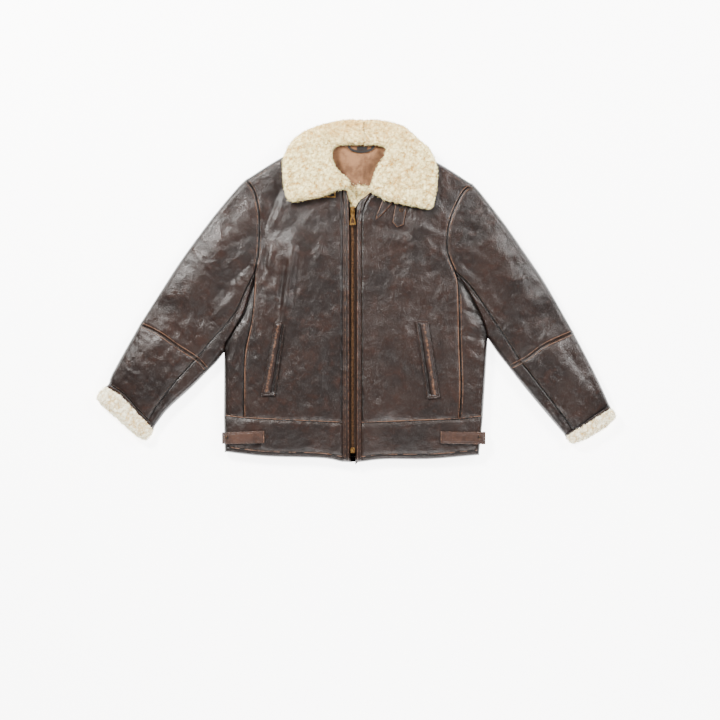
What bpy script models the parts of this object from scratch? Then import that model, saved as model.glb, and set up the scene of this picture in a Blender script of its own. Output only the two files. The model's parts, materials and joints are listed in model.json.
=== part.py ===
# Shearling jacket lying flat on its back, collar towards +Y, hem towards -Y.
# The outline and thickness tables are in millimetres; MM turns them into metres.
# "right" is the wearer's right, on the -X side; "left" is on the +X side.

import math

import bmesh
import bpy
import numpy as np

MM = 0.001

# Driving sizes
SEAM_GAP = 0.3            # clearance between pieces that meet at a seam
MIDDLE = 14.0             # height where the back layer and the front layer meet
LAYER_GAP = 0.2           # each layer keeps this far from the middle height
FRONT_WALL = 15.8         # leather and pile of the front layer
PUFF = 4.0                # how much the front layer swells away from its edges
PUFF_REACH = 45.0         # distance over which it swells
EDGE_RADIUS = 12.0        # a folded or bound edge rounds off over this width
EDGE_LIP = 1.5            # least wall left of each layer at the very edge
EDGE_STEPS = (0.0, 1.2, 4.0, 12.0)   # rows of points from a free edge inwards
HEM_BINDING = 12.0        # width of the bound hem edge
COLLAR_WALL = 17.0        # collar leather and deep wool
COLLAR_RADIUS = 14.0      # how far in the collar's edge rounds off
COLLAR_LIFT = 3.6         # room under the collar leaves for straps and buckle
FLOOR_CLEAR = 0.3         # collar leaf above the floor beyond the shoulders
TRIM_LIFT = 0.6           # trim lies this far above the panel under it
PLACKET_RISE = 1.5        # placket strips stand this much above the fronts
ZIP_X = -7.4              # centre line of the zip
ZIP_END_Y = -357.0
PULL = {"slider_y": (170.0, 184.0), "axis_y": 177.6, "arch_width": 3.0, "thick": 1.8}

# Outline of each side, from the shoulder down. Rows are X, Y.
SIDES = {
    "right": {
        "shoulder": [(-79, 329), (-160, 297), (-243, 246)],
        "armhole": [(-243, 246), (-224, 217), (-214.5, 175), (-212.5, 134), (-215, 82), (-222, 41)],
        "underarm": [(-222, 41), (-233, 0), (-249, -50), (-282, -95), (-291, -135)],
        "side_seam": [(-222, 41), (-229, -58), (-245, -140), (-247, -221), (-247, -281)],
        "side_edge": [(-291, -135), (-291.5, -200), (-292, -276)],
        "band_edge": [(-292, -276), (-291.5, -310), (-290.5, -344)],
        "hem_edge": [(-290, -356), (-200, -366), (-78, -370), (-30, -378)],
        "hem_seam": [(-292, -276), (-247, -281), (-30, -291)],
        "neckline": [(-79, 329), (-66, 318), (-63, 292), (-55, 270), (-38, 250), (-34, 226)],
        "placket_outer": [(-34, 226), (-30, 180), (-30, -100), (-30, -291)],
        "placket_inner": [(-20, 219), (-13, 186), (-12.6, 150), (-12.5, -330), (-12.5, -368), (-8, -379)],
        "outer_upper": [(-243, 246), (-264, 225.5), (-319, 159.5), (-387, 67), (-438, -12), (-477, -73)],
        "outer_fore": [(-477, -73), (-510, -131), (-539, -184), (-546, -205)],
        "under_upper": [(-222, 41), (-240, 5), (-270, -55), (-322, -115), (-351, -150)],
        "under_fore": [(-351, -150), (-404, -209), (-457, -280)],
        "inner_upper": [(-291, -135), (-308, -157), (-326.5, -176)],
        "inner_fore": [(-326.5, -176), (-363, -213), (-416, -262), (-444, -298)],
        "elbow": [(-477, -73), (-432, -95), (-392, -123), (-351, -150), (-326.5, -176)],
        "sleeve_end": [(-546, -205), (-509.5, -229), (-481, -262), (-457, -286), (-444, -298)],
        "cuff_outer": [(-552, -211), (-566, -222), (-574, -238)],
        "cuff_inner": [(-447, -306), (-452, -318), (-463, -331)],
        "wool_end": [(-574, -238), (-559, -257), (-528, -283), (-489, -319), (-463, -331)],
        "welt": [(-177.5, -67), (-155.5, -76), (-178, -232), (-209, -232)],
        "tab_y": (-312, -338, -308, -336),
        "tab_x": (-294.5, -201.5),
    },
    "left": {
        "shoulder": [(84, 327), (179, 284), (259.6, 234)],
        "armhole": [(259.6, 234), (238, 219), (222, 191), (209, 160), (202, 129), (201, 85), (217, 42)],
        "underarm": [(217, 42), (238, 15), (262, -27.5), (282, -70), (291, -104.5)],
        "side_seam": [(217, 42), (225, 10), (228, -106.5), (231, -212), (228, -283)],
        "side_edge": [(291, -104.5), (287, -173), (280.5, -277)],
        "band_edge": [(280.5, -277), (279, -310), (274, -351)],
        "hem_edge": [(272, -363), (163, -372), (64, -372.5), (12, -378)],
        "hem_seam": [(280.5, -277), (228, -283), (12, -291.5)],
        "neckline": [(84, 327), (84, 312), (59, 275), (47, 245), (42, 222)],
        "placket_outer": [(42, 222), (17, 180), (12, 120), (12, -291.5)],
        "placket_inner": [(27, 213), (2, 189), (-1.5, 140), (-1.5, -100), (-1.5, -359), (-2, -379.5)],
        "outer_upper": [(259.6, 234), (279, 212), (330, 146), (376, 80), (420, 14), (480, -91)],
        "outer_fore": [(480, -91), (508, -144), (535, -197), (560, -252)],
        "under_upper": [(217, 42), (247, 14), (282, -34), (322, -94), (362, -157)],
        "under_fore": [(362, -157), (418, -228), (476, -302)],
        "inner_upper": [(291, -104.5), (313, -137.5), (338, -169)],
        "inner_fore": [(338, -169), (368, -208), (411, -260), (460, -317)],
        "elbow": [(480, -91), (419, -118), (380, -146), (362, -157), (338, -169)],
        "sleeve_end": [(560, -252), (524, -276), (499, -294), (476, -308), (460, -317)],
        "cuff_outer": [(563, -259), (570, -266), (574, -278)],
        "cuff_inner": [(463, -323), (469, -331), (480, -338)],
        "wool_end": [(574, -278), (560, -296), (537, -311), (505, -329), (480, -338)],
        "welt": [(130, -66), (159, -68), (185, -236), (156, -238)],
        "tab_y": (-311, -339, -310, -336),
        "tab_x": (284.5, 186),
    },
}

NECK_BACK = [(-79, 329), (-55, 322), (10, 320), (60, 321), (84, 327)]

COLLAR = {
    "right": {
        "outer": [(-139, 192.5), (-154, 205), (-160, 258), (-159, 296), (-129, 342), (-78, 367),
                  (-27.5, 379), (17.85, 378.5)],
        "inner": [(-12, 223), (-15, 241), (-43, 266), (-51.5, 291), (-51, 311), (-34, 321), (17.85, 321)],
        "front": [(-139, 192.5), (-75.5, 204), (-43, 218), (-12, 223)],
    },
    "left": {
        "outer": [(161, 177), (171, 190), (179.5, 261), (164, 309), (134, 337), (106, 364),
                  (53, 379), (18.15, 378.5)],
        "inner": [(28, 218), (35, 241), (47, 271), (66, 303), (62, 316), (45, 321), (18.15, 321)],
        "front": [(161, 177), (114, 186), (63, 198), (28, 218)],
    },
}

# Broad folds of the front layer: a soft ridge from one end to the other, lower than 0 is a trough.
FOLDS = [
    # x0, y0, x1, y1, height, width
    (-141, 95, -152, -60, 5.0, 26),
    (-172, 215, -205, 110, -4.0, 24),
    (-100, 120, -60, -40, 3.0, 40),
    (150, 180, 120, 20, 4.0, 34),
    (190, 30, 150, -60, -3.5, 26),
    (80, -60, 70, -240, 3.5, 40),
    (-110, -110, -95, -260, 3.5, 36),
    (-300, 100, -395, -40, 6.0, 36),
    (-330, -60, -420, -40, -4.0, 24),
    (-440, -120, -500, -190, 5.0, 30),
    (-392, -150, -420, -215, 4.0, 24),
    (300, 110, 390, -30, 6.0, 36),
    (330, -60, 420, -50, -4.0, 24),
    (440, -130, 505, -220, 5.0, 30),
    (395, -170, 440, -245, 4.0, 24),
]

FACING = [(-61, 317), (79, 317), (38, 233), (-20, 233)]
LABEL = {"x": (2, 24), "y": (311, 318)}
LOOP = {"ends": (-16, 39), "end_y": 319.4, "low_y": 307.0, "width": 5.0, "thick": 1.8}
THROAT_STRAPS = {
    "throat_strap_inner": [(60, 214), (84, 210), (79, 190), (56, 165), (42.5, 154), (45, 166), (57, 194)],
    "throat_strap_outer": [(89, 205), (116, 203), (112, 185), (104.5, 144), (90, 138), (80, 150), (86, 187)],
}
STRAP_EYELET = (99, 176)
BUCKLE = {"x": (-73, -45), "y": (204, 226), "bar": 2.6}
BUCKLE_STRAP = [(-69, 226.5), (-49, 226.5), (-49, 251.5), (-69, 251.5)]
EYELET = {"hole": 2.0, "outer": 5.5, "high": 1.2, "sides": 14}
STRAP_THICK = 2.2
WELT_THICK = 3.2
WELT_LIFT = 1.5
TAB_THICK = 2.6
TAB_STEPS = (4.0, 9.0, 16.0, 30.0)
TAB_WRAP = {"gap": 0.9, "reach": 1.2, "low": 10.0, "high": 23.0, "edge_lift": 1.0, "edge_zone": 20}
TEETH_HALF = 3.0
TEETH_HIGH = 2.6
TAPE_DROP = 11.0
TAPE_THICK = 2.0
TAPE_X = (-12.0, -1.9)
TAPE_TOP_Y = 150
SLIDER_DROP = 0.4
ARCH = {"under": 3.2, "over": 4.6, "legs": (1.4, 2.9), "inset": (2.0, 0.5)}
BOTTOM_STOP = [(-11.5, -357), (-3.3, -357), (-2.2, -351), (-4, -345), (-10.8, -345), (-12.1, -351)]
PULL_OUTLINE = [(4.2, 0.9), (4.2, -11), (3.6, -14), (7.0, -32), (6.0, -34)]
PULL_SLOT = [(2.4, -0.9), (2.4, -9.2)]
PULL_WINDOW = [(1.2, -17), (4.2, -29.8)]
FACING_THICK = 2.0
LABEL_THICK = 0.8

# The collar's lower face: how far past the shoulder it starts to rise, and where it meets the ground
COLLAR_OVER = 0.8
COLLAR_RISE = (-60, -10)
COLLAR_SIDE_FALL = (0, 58)
COLLAR_BACK_FALL = (4, 48)
COLLAR_BACK_LIFT = 0.7
COLLAR_CENTRE = {"x": 4, "fade": (56, 82), "past": (-20, -4)}
COLLAR_STEPS = (0.0, 2.0, 6.0, 14.0)
COLLAR_FRONT_STEPS = (0.0, 0.0067, 0.02, 0.0467)
COLLAR_ROWS_FROM = 0.11

# Colour, roughness and metallic of each finish
FINISHES = {
    "leather": ((0.072, 0.046, 0.038), 0.5, 0.0),
    "tab_leather": ((0.215, 0.125, 0.092), 0.5, 0.0),
    "wool": ((0.90, 0.82, 0.68), 0.95, 0.0),
    "facing": ((0.30, 0.18, 0.125), 0.9, 0.0),
    "tape": ((0.33, 0.20, 0.13), 0.85, 0.0),
    "trim": ((0.02, 0.015, 0.014), 0.7, 0.0),
    "brass": ((0.52, 0.32, 0.09), 0.35, 1.0),
}


def clear_scene():
    for item in list(bpy.data.objects):
        bpy.data.objects.remove(item, do_unlink=True)


def finish(kind, node):
    """A material of its own for one piece."""
    colour, roughness, metallic = FINISHES[kind]
    made = bpy.data.materials.new(node + "_" + kind)
    made.use_nodes = True
    shader = made.node_tree.nodes["Principled BSDF"]
    shader.inputs["Base Color"].default_value = (*colour, 1.0)
    shader.inputs["Roughness"].default_value = roughness
    shader.inputs["Metallic"].default_value = metallic
    return made


def add_piece(node, points, faces, kind):
    """One closed piece from points in millimetres and faces of point numbers."""
    mesh = bpy.data.meshes.new(node)
    mesh.from_pydata([tuple(float(value) * MM for value in point) for point in points], [], faces)
    shaper = bmesh.new()
    shaper.from_mesh(mesh)
    bmesh.ops.recalc_face_normals(shaper, faces=shaper.faces)
    bmesh.ops.triangulate(shaper, faces=shaper.faces)
    shaper.to_mesh(mesh)
    shaper.free()
    mesh.shade_smooth()
    mesh.set_sharp_from_angle(angle=math.radians(50))
    made = bpy.data.objects.new(node, mesh)
    made.data.materials.append(finish(kind, node))
    bpy.context.scene.collection.objects.link(made)
    return made


# Curves and grids

def lengths_along(points):
    steps = np.linalg.norm(np.diff(points, axis=0), axis=1)
    return np.concatenate([[0.0], np.cumsum(steps)])


def at_fractions(points, fractions):
    """Points at the given shares of a line's length."""
    points = np.asarray(points, float)
    along = lengths_along(points)
    wanted = np.asarray(fractions) * along[-1]
    return np.stack([np.interp(wanted, along, points[:, axis]) for axis in range(points.shape[1])], axis=-1)


def smooth_line(knots, per_span=10):
    """A dense Catmull-Rom curve through a few hand-set points."""
    knots = np.asarray(knots, float)
    padded = np.vstack([2 * knots[0] - knots[1], knots, 2 * knots[-1] - knots[-2]])
    step = np.linspace(0, 1, per_span, endpoint=False)[:, None]
    spans = []
    for before, start, end, after in zip(padded, padded[1:], padded[2:], padded[3:]):
        slope = (end - before) * step
        bend = (2 * before - 5 * start + 4 * end - after) * step ** 2
        twist = (3 * start - before - 3 * end + after) * step ** 3
        spans.append(0.5 * (2 * start + slope + bend + twist))
    return np.vstack(spans + [knots[-1:]])


def from_edge(length, count):
    """Shares of a length: close rows by the free edge, then even ones to the other end."""
    steps = np.array(EDGE_STEPS) / length
    return np.concatenate([steps[:-1], np.linspace(steps[-1], 1, count)])


def span_grid(first, last, top, bottom, column_rule):
    """Fill the space between four border lines. Rows run from the first border to the last one."""
    down_first = lengths_along(first) / lengths_along(first)[-1]
    down_last = lengths_along(last) / lengths_along(last)[-1]
    share = (down_first + down_last) / 2
    grid = []
    for row, down in enumerate(share):
        across = column_rule(np.linalg.norm(last[row] - first[row]), down)[:, None]
        upper = at_fractions(top, across[:, 0])
        lower = at_fractions(bottom, across[:, 0])
        ruled = (1 - across) * first[row] + across * last[row]
        ends = (1 - down) * ((1 - across) * top[0] + across * top[-1])
        ends = ends + down * ((1 - across) * bottom[0] + across * bottom[-1])
        grid.append((1 - down) * upper + down * lower + ruled - ends)
    return np.array(grid)


def unit(vectors):
    return vectors / np.linalg.norm(vectors, axis=-1, keepdims=True)


def inset(grid, amount=SEAM_GAP / 2):
    """Move a grid's four borders inwards, each square to itself."""
    moved = grid.copy()
    borders = (
        ((slice(None), 0), (slice(None), 1)),
        ((slice(None), -1), (slice(None), -2)),
        ((0, slice(None)), (1, slice(None))),
        ((-1, slice(None)), (-2, slice(None))),
    )
    for border, inside in borders:
        along = unit(np.gradient(grid[border], axis=0))
        square = np.stack([-along[:, 1], along[:, 0]], axis=1)
        facing = np.sign(np.sum(square * (grid[inside] - grid[border]), axis=1, keepdims=True))
        moved[border] = moved[border] + amount * square * facing
    return moved


# Heights

def outline_loop():
    """The whole outline without the collar, as one closed line."""
    loop = []
    for side in ("right", "left"):
        shape = SIDES[side]
        run = [smooth_line(shape["shoulder"]), smooth_line(shape["outer_upper"]),
               smooth_line(shape["outer_fore"]), smooth_line(shape["cuff_outer"]),
               smooth_line(shape["wool_end"]), smooth_line(shape["cuff_inner"])[::-1],
               smooth_line(shape["inner_fore"])[::-1], smooth_line(shape["inner_upper"])[::-1],
               smooth_line(shape["side_edge"]), smooth_line(shape["band_edge"]),
               smooth_line(shape["hem_edge"]), np.array(shape["placket_inner"][-1:], float)]
        run = np.vstack(run)
        loop.append(run if side == "right" else run[::-1])
    return np.vstack(loop + [np.array(NECK_BACK[::-1], float)])


def distance_to(line, points):
    """Shortest distance from each point to a chain of straight pieces."""
    flat = np.asarray(points, float).reshape(-1, 2)
    start = line[:-1]
    run = line[1:] - start
    keep = np.linalg.norm(run, axis=1) > 1e-6
    start, run = start[keep], run[keep]
    rel = flat[:, None, :] - start[None]
    share = np.clip(np.sum(rel * run, axis=2) / np.sum(run * run, axis=1), 0, 1)
    gap = np.linalg.norm(rel - share[..., None] * run, axis=2)
    return gap.min(axis=1).reshape(np.asarray(points).shape[:-1])


def round_off(distance, radius):
    """0 at an edge, rising as a quarter circle to 1."""
    left = 1 - np.clip(distance / radius, 0, 1)
    return np.sqrt(np.clip(1 - left ** 2, 0, 1))


def smooth_step(low, high, value):
    share = np.clip((value - low) / (high - low), 0, 1)
    return share * share * (3 - 2 * share)


def fold_height(points):
    """Sum of the broad folds at each point."""
    total = np.zeros(points.shape[:-1])
    for x0, y0, x1, y1, height, width in FOLDS:
        start = np.array([x0, y0], float)
        run = np.array([x1 - x0, y1 - y0], float)
        share = np.sum((points - start) * run, axis=-1) / np.sum(run * run)
        nearest = start + np.clip(share, 0, 1)[..., None] * run
        gap = np.linalg.norm(points - nearest, axis=-1)
        total = total + height * np.exp(-(gap / width) ** 2)
    return total


OUTLINE = outline_loop()


def front_top(points):
    """Upper face of the front layer."""
    edge = distance_to(OUTLINE, points)
    swell = PUFF * (1 - np.exp(-(edge / PUFF_REACH) ** 2)) + fold_height(points)
    wall = EDGE_LIP + (FRONT_WALL - EDGE_LIP) * round_off(edge, EDGE_RADIUS)
    return MIDDLE + LAYER_GAP + wall + swell * round_off(edge, EDGE_RADIUS)


def front_under(points):
    return np.full(points.shape[:-1], MIDDLE + LAYER_GAP)


def back_top(points):
    return np.full(points.shape[:-1], MIDDLE - LAYER_GAP)


def back_under(points):
    """Lower face of the back layer, flat on the ground but for its rounded edge."""
    edge = distance_to(OUTLINE, points)
    return (MIDDLE - LAYER_GAP - EDGE_LIP) * (1 - round_off(edge, EDGE_RADIUS))


def with_height(points, height):
    return np.concatenate([points, np.asarray(height)[..., None]], axis=-1)


# Solids

def loft(node, sections, kind):
    """Skin a row of closed loops that all have the same number of points."""
    sections = np.asarray(sections, float)
    rows, count = sections.shape[:2]
    faces = []
    for row in range(rows - 1):
        for step in range(count):
            after = (step + 1) % count
            faces.append((row * count + step, row * count + after,
                          (row + 1) * count + after, (row + 1) * count + step))
    faces.append(tuple(range(count)))
    faces.append(tuple((rows - 1) * count + step for step in range(count)))
    return add_piece(node, sections.reshape(-1, 3), faces, kind)


def sheet_loops(grid, under, top):
    """Closed loops round a flat wall, one for each row of its grid."""
    upper = with_height(grid, top(grid))
    lower = with_height(grid, under(grid))
    return np.concatenate([upper, lower[:, ::-1]], axis=1)


def wall(node, grid, under, top, kind="leather"):
    return loft(node, sheet_loops(inset(grid), under, top), kind)


def folded_wall(node, grid, root_column, kind="leather"):
    """A wall folded round the free edge in column 0, open at its last column."""
    grid = inset(grid)
    upper = with_height(grid, front_top(grid))
    lower = with_height(grid, back_under(grid))
    mouth = grid[:, root_column:]
    slit_low = with_height(mouth, back_top(mouth))
    slit_high = with_height(mouth, front_under(mouth))
    loops = [upper[:, ::-1], lower, slit_low[:, ::-1], slit_high]
    return loft(node, np.concatenate(loops, axis=1), kind)


def flat_ring(node, grid, slit_columns, kind):
    """A flattened tube: the outer skin follows the grid, the slit inside stops short of both folds."""
    upper = with_height(grid, front_top(grid))
    lower = with_height(grid, back_under(grid))
    slit = grid[:, slit_columns]
    slit_high = with_height(slit, front_under(slit))
    slit_low = with_height(slit, back_top(slit))
    outer_loop = np.concatenate([upper, lower[:, ::-1]], axis=1)
    inner_loop = np.concatenate([slit_high, slit_low[:, ::-1]], axis=1)
    rows, count = outer_loop.shape[:2]
    points = np.concatenate([outer_loop.reshape(-1, 3), inner_loop.reshape(-1, 3)])
    shift = rows * count
    faces = []
    for row in range(rows - 1):
        for step in range(count):
            after = (step + 1) % count
            here, there = row * count, (row + 1) * count
            faces.append((here + step, here + after, there + after, there + step))
            faces.append((shift + here + step, shift + there + step,
                          shift + there + after, shift + here + after))
    for row in (0, rows - 1):
        for step in range(count):
            after = (step + 1) % count
            here = row * count
            faces.append((here + step, here + after, shift + here + after, shift + here + step))
    return add_piece(node, points, faces, kind)


def prism(node, outline, low, high, kind):
    """An outline with a height of its own at each point, below and above."""
    outline = np.asarray(outline, float)
    count = len(outline)
    points = np.concatenate([with_height(outline, low), with_height(outline, high)])
    faces = [tuple(range(count)), tuple(count + step for step in range(count))]
    for step in range(count):
        after = (step + 1) % count
        faces.append((step, after, count + after, count + step))
    return add_piece(node, points, faces, kind)


# Body

def side_lines(side):
    """All border lines of one side; the seams and edges are smooth, the hem seam is straight runs."""
    curved = ("shoulder", "armhole", "underarm", "side_seam", "side_edge", "neckline", "placket_outer",
              "placket_inner", "outer_upper", "outer_fore", "under_upper", "under_fore", "inner_upper",
              "inner_fore", "elbow", "sleeve_end", "cuff_outer", "cuff_inner", "wool_end", "hem_edge")
    lines = {name: smooth_line(SIDES[side][name]) for name in curved}
    lines["hem_seam"] = np.array(SIDES[side]["hem_seam"], float)
    lines["hem_top"] = lines["hem_edge"] + np.array([0.0, HEM_BINDING])
    lines["armhole_shares"] = from_edge(lengths_along(lines["armhole"])[-1], 5)
    lines["armhole_rows"] = at_fractions(lines["armhole"], lines["armhole_shares"])
    lines["seam_rows"] = at_fractions(lines["side_seam"], np.linspace(0, 1, 8))
    lines["body_rows"] = np.vstack([lines["armhole_rows"], lines["seam_rows"][1:]])
    neck_shares = from_edge(lengths_along(lines["neckline"])[-1], 4)
    lines["neck_rows"] = at_fractions(lines["neckline"], neck_shares)
    below = len(lines["body_rows"]) - len(neck_shares)
    lines["placket_rows"] = at_fractions(lines["placket_outer"], np.linspace(0, 1, below + 1))
    lines["seam_x"] = lines["hem_seam"][1, 0]
    return lines


def split_at(line, x):
    """The two parts of a line on either side of the point nearest to an X."""
    place = int(np.argmin(np.abs(line[:, 0] - x)))
    return line[:place + 1], line[place:]


def even_columns(count):
    return lambda width, down: np.linspace(0, 1, count)


def fixed_columns(shares):
    return lambda width, down: np.asarray(shares)


def edge_columns(count):
    return lambda width, down: from_edge(max(width, EDGE_STEPS[-1] * 1.6), count)


def ends_of(first, last):
    return np.vstack([first, last])


def make_front(side, lines):
    opposite = np.vstack([lines["neck_rows"], lines["placket_rows"][1:]])
    seam_part = lines["hem_seam"][1:]
    shoulder = lines["shoulder"][::-1]
    grid = span_grid(lines["body_rows"], opposite, shoulder, seam_part, even_columns(9))
    wall("front_" + side, grid, front_under, front_top)


def make_side_panel(side, lines):
    edge = at_fractions(lines["side_edge"], np.linspace(0, 1, 8))
    grid = span_grid(edge, lines["seam_rows"], lines["underarm"][::-1], lines["hem_seam"][:2], edge_columns(3))
    folded_wall("side_panel_" + side, grid, len(EDGE_STEPS) - 1)


def hem_borders(lines):
    """Rows down the hem band and its bound edge, at the side edge and at the placket."""
    rows = []
    for end in (0, -1):
        band = at_fractions(ends_of(lines["hem_seam"][end], lines["hem_top"][end]), np.linspace(0, 1, 4))
        shares = 1 - np.array(EDGE_STEPS[::-1]) / HEM_BINDING
        bound = at_fractions(ends_of(lines["hem_top"][end], lines["hem_edge"][end]), shares)
        rows.append((band, bound))
    return rows


def raised_front(points):
    return front_top(points) + PLACKET_RISE


def make_placket(side, lines):
    band, bound = hem_borders(lines)[1]
    outer = np.vstack([lines["placket_rows"], band[1:], bound[1:]])
    inner_line = lines["placket_inner"]
    down = (outer[0, 1] - outer[:, 1]) / (outer[0, 1] - outer[-1, 1])
    inner_y = inner_line[0, 1] + down * (inner_line[-1, 1] - inner_line[0, 1])
    inner_x = np.interp(-inner_y, -inner_line[:, 1], inner_line[:, 0])
    inner = np.stack([inner_x, inner_y], axis=1)
    grid = span_grid(outer, inner, ends_of(outer[0], inner[0]), ends_of(outer[-1], inner[-1]), even_columns(5))
    wall("placket_" + side, grid, front_under, raised_front)


def x_shares(places, start, end):
    return (np.asarray(places, float) - start) / (end - start)


def make_front_hem(side, lines):
    """Hem band and bound edge of one front, from the side edge to the placket."""
    start, end = lines["hem_seam"][0, 0], lines["hem_seam"][-1, 0]
    inwards = np.sign(end - start)
    near = start + inwards * np.array(EDGE_STEPS)
    places = np.concatenate([near, np.linspace(lines["seam_x"], end, 7)])
    rule = fixed_columns(x_shares(places, start, end))
    (band_edge, bound_edge), (band_placket, bound_placket) = hem_borders(lines)
    grid = span_grid(band_edge, band_placket, lines["hem_seam"], lines["hem_top"], rule)
    wall("hem_band_" + side, grid, front_under, front_top)
    grid = span_grid(bound_edge, bound_placket, lines["hem_top"], lines["hem_edge"], rule)
    wall("hem_binding_" + side, grid, front_under, front_top)


def make_back(lines):
    right, left = lines["right"], lines["left"]
    top = np.vstack([right["shoulder"][::-1], smooth_line(NECK_BACK)[1:-1], left["shoulder"]])
    seam = np.vstack([right["hem_seam"][1:], left["hem_seam"][1:][::-1]])
    places = np.concatenate([np.linspace(seam[0, 0], seam[1, 0], 7), np.linspace(seam[2, 0], seam[3, 0], 7)])
    foot_shares = x_shares(places, seam[0, 0], seam[-1, 0])
    even = np.linspace(0, 1, len(foot_shares))
    rule = lambda width, down: (1 - down) * even + down * foot_shares
    grid = span_grid(right["body_rows"], left["body_rows"], top, seam, rule)
    wall("back_panel", grid, back_under, back_top)


def both_edges(count):
    """Columns that are close together by both free edges."""
    def rule(width, down):
        near = np.array(EDGE_STEPS) / width
        return np.concatenate([near[:-1], np.linspace(near[-1], 1 - near[-1], count), 1 - near[:-1][::-1]])
    return rule


def make_back_hem(lines):
    right, left = lines["right"], lines["left"]
    start, end = right["hem_seam"][0, 0], left["hem_seam"][0, 0]
    near = np.array(EDGE_STEPS)
    places = np.concatenate([start + near, np.linspace(right["seam_x"], right["hem_seam"][-1, 0], 6),
                             np.linspace(left["hem_seam"][-1, 0], left["seam_x"], 6), end - near[::-1]])
    rule = fixed_columns(x_shares(places, start, end))
    borders = [hem_borders(right)[0], hem_borders(left)[0]]
    for node, upper, lower, part in (("hem_band_back", "hem_seam", "hem_top", 0),
                                     ("hem_binding_back", "hem_top", "hem_edge", 1)):
        top = np.vstack([right[upper], left[upper][::-1]])
        foot = np.vstack([right[lower], left[lower][::-1]])
        grid = span_grid(borders[0][part], borders[1][part], top, foot, rule)
        wall(node, grid, back_under, back_top)


# Sleeves

def strip_columns(width, down):
    """Columns of the under sleeve's strip, close together by the inner edge."""
    return 1 - from_edge(max(width, EDGE_STEPS[-1] * 1.6), 3)[::-1]


def make_sleeve_part(side, part, lines, start_top, start_strip, rows):
    """Top sleeve and under sleeve of one length. The under sleeve comes round and shows as a strip."""
    share = np.linspace(0, 1, rows)
    outer = at_fractions(lines["outer_" + part], share)
    seam = at_fractions(lines["under_" + part], share)
    inner = at_fractions(lines["inner_" + part], share)
    end_top, end_strip = split_at(lines["elbow" if part == "upper" else "sleeve_end"], seam[-1, 0])

    def top_columns(width, down):
        return lines["armhole_shares"] if part == "upper" and down == 0 else edge_columns(5)(width, down)

    top_grid = span_grid(outer, seam, start_top, end_top, top_columns)
    strip_grid = span_grid(seam, inner, start_strip, end_strip, strip_columns)
    wall("sleeve_top_%s_%s" % (part, side), top_grid, front_under, front_top)

    top_inset = inset(top_grid)
    strip_inset = inset(strip_grid)
    ground = np.concatenate([top_inset[:, :-1], strip_inset], axis=1)
    below = with_height(ground, back_under(ground))
    strip = with_height(strip_inset, front_top(strip_inset))
    tongue = np.concatenate([top_inset[:, :-1], strip_inset[:, :1]], axis=1)
    shelf = with_height(tongue, back_top(tongue))
    loops = np.concatenate([below, strip[:, ::-1], shelf[:, ::-1]], axis=1)
    loft("sleeve_under_%s_%s" % (part, side), loops, "leather")
    return end_top, end_strip, np.vstack([top_grid[-1], strip_grid[-1, 1:]])


def make_sleeve(side, lines):
    middle = make_sleeve_part(side, "upper", lines, lines["armhole"], lines["underarm"], 8)
    return make_sleeve_part(side, "fore", lines, middle[0], middle[1], 6)[2]


def make_cuff(side, lines, start):
    """Leather binding and turned wool of one cuff, each a flattened tube. It starts at the sleeve's end."""
    edge_outer, edge_inner, end = lines["cuff_outer"], lines["cuff_inner"], lines["wool_end"]
    shares = lengths_along(start) / lengths_along(start)[-1]
    shift = (1 - shares[:, None]) * (edge_outer[0] - start[0]) + shares[:, None] * (edge_inner[0] - start[-1])
    joint = start + shift
    rule = fixed_columns(shares)
    count = len(shares)
    near = len(EDGE_STEPS) - 1
    slit = np.clip(np.arange(count), near, count - 1 - near)
    grid = span_grid(ends_of(start[0], joint[0]), ends_of(start[-1], joint[-1]), start, joint, rule)
    flat_ring("cuff_binding_" + side, inset(grid), slit, "leather")
    rows = np.linspace(0, 1, 5)
    grid = span_grid(at_fractions(edge_outer, rows), at_fractions(edge_inner, rows), joint, end, rule)
    flat_ring("cuff_" + side, inset(grid), slit, "wool")


# Collar and neck

def outside_by(points):
    """Distance past the shoulder line or the back neck seam, negative over the body."""
    top = np.vstack([smooth_line(SIDES["right"]["shoulder"])[::-1], smooth_line(NECK_BACK),
                     smooth_line(SIDES["left"]["shoulder"])])
    gap = distance_to(top, points)
    line_y = np.interp(points[..., 0], top[:, 0], top[:, 1])
    return np.where(points[..., 1] > line_y, gap, -gap)


def collar_under(points):
    """Lower face of the collar: over the fronts, then down to the ground past the shoulders."""
    past = outside_by(points)
    lifted = 1 - smooth_step(*COLLAR_RISE, past)
    over_front = MIDDLE + LAYER_GAP + FRONT_WALL + PUFF + COLLAR_OVER + COLLAR_LIFT * lifted
    at_side = over_front + (FLOOR_CLEAR - over_front) * smooth_step(*COLLAR_SIDE_FALL, past)
    over_back = MIDDLE + COLLAR_BACK_LIFT
    behind = over_back + (FLOOR_CLEAR - over_back) * smooth_step(*COLLAR_BACK_FALL, past)
    centre = 1 - smooth_step(*COLLAR_CENTRE["fade"], np.abs(points[..., 0] - COLLAR_CENTRE["x"]))
    high_part = smooth_step(*COLLAR_CENTRE["past"], past) * centre
    return at_side + (behind - at_side) * high_part


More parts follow.
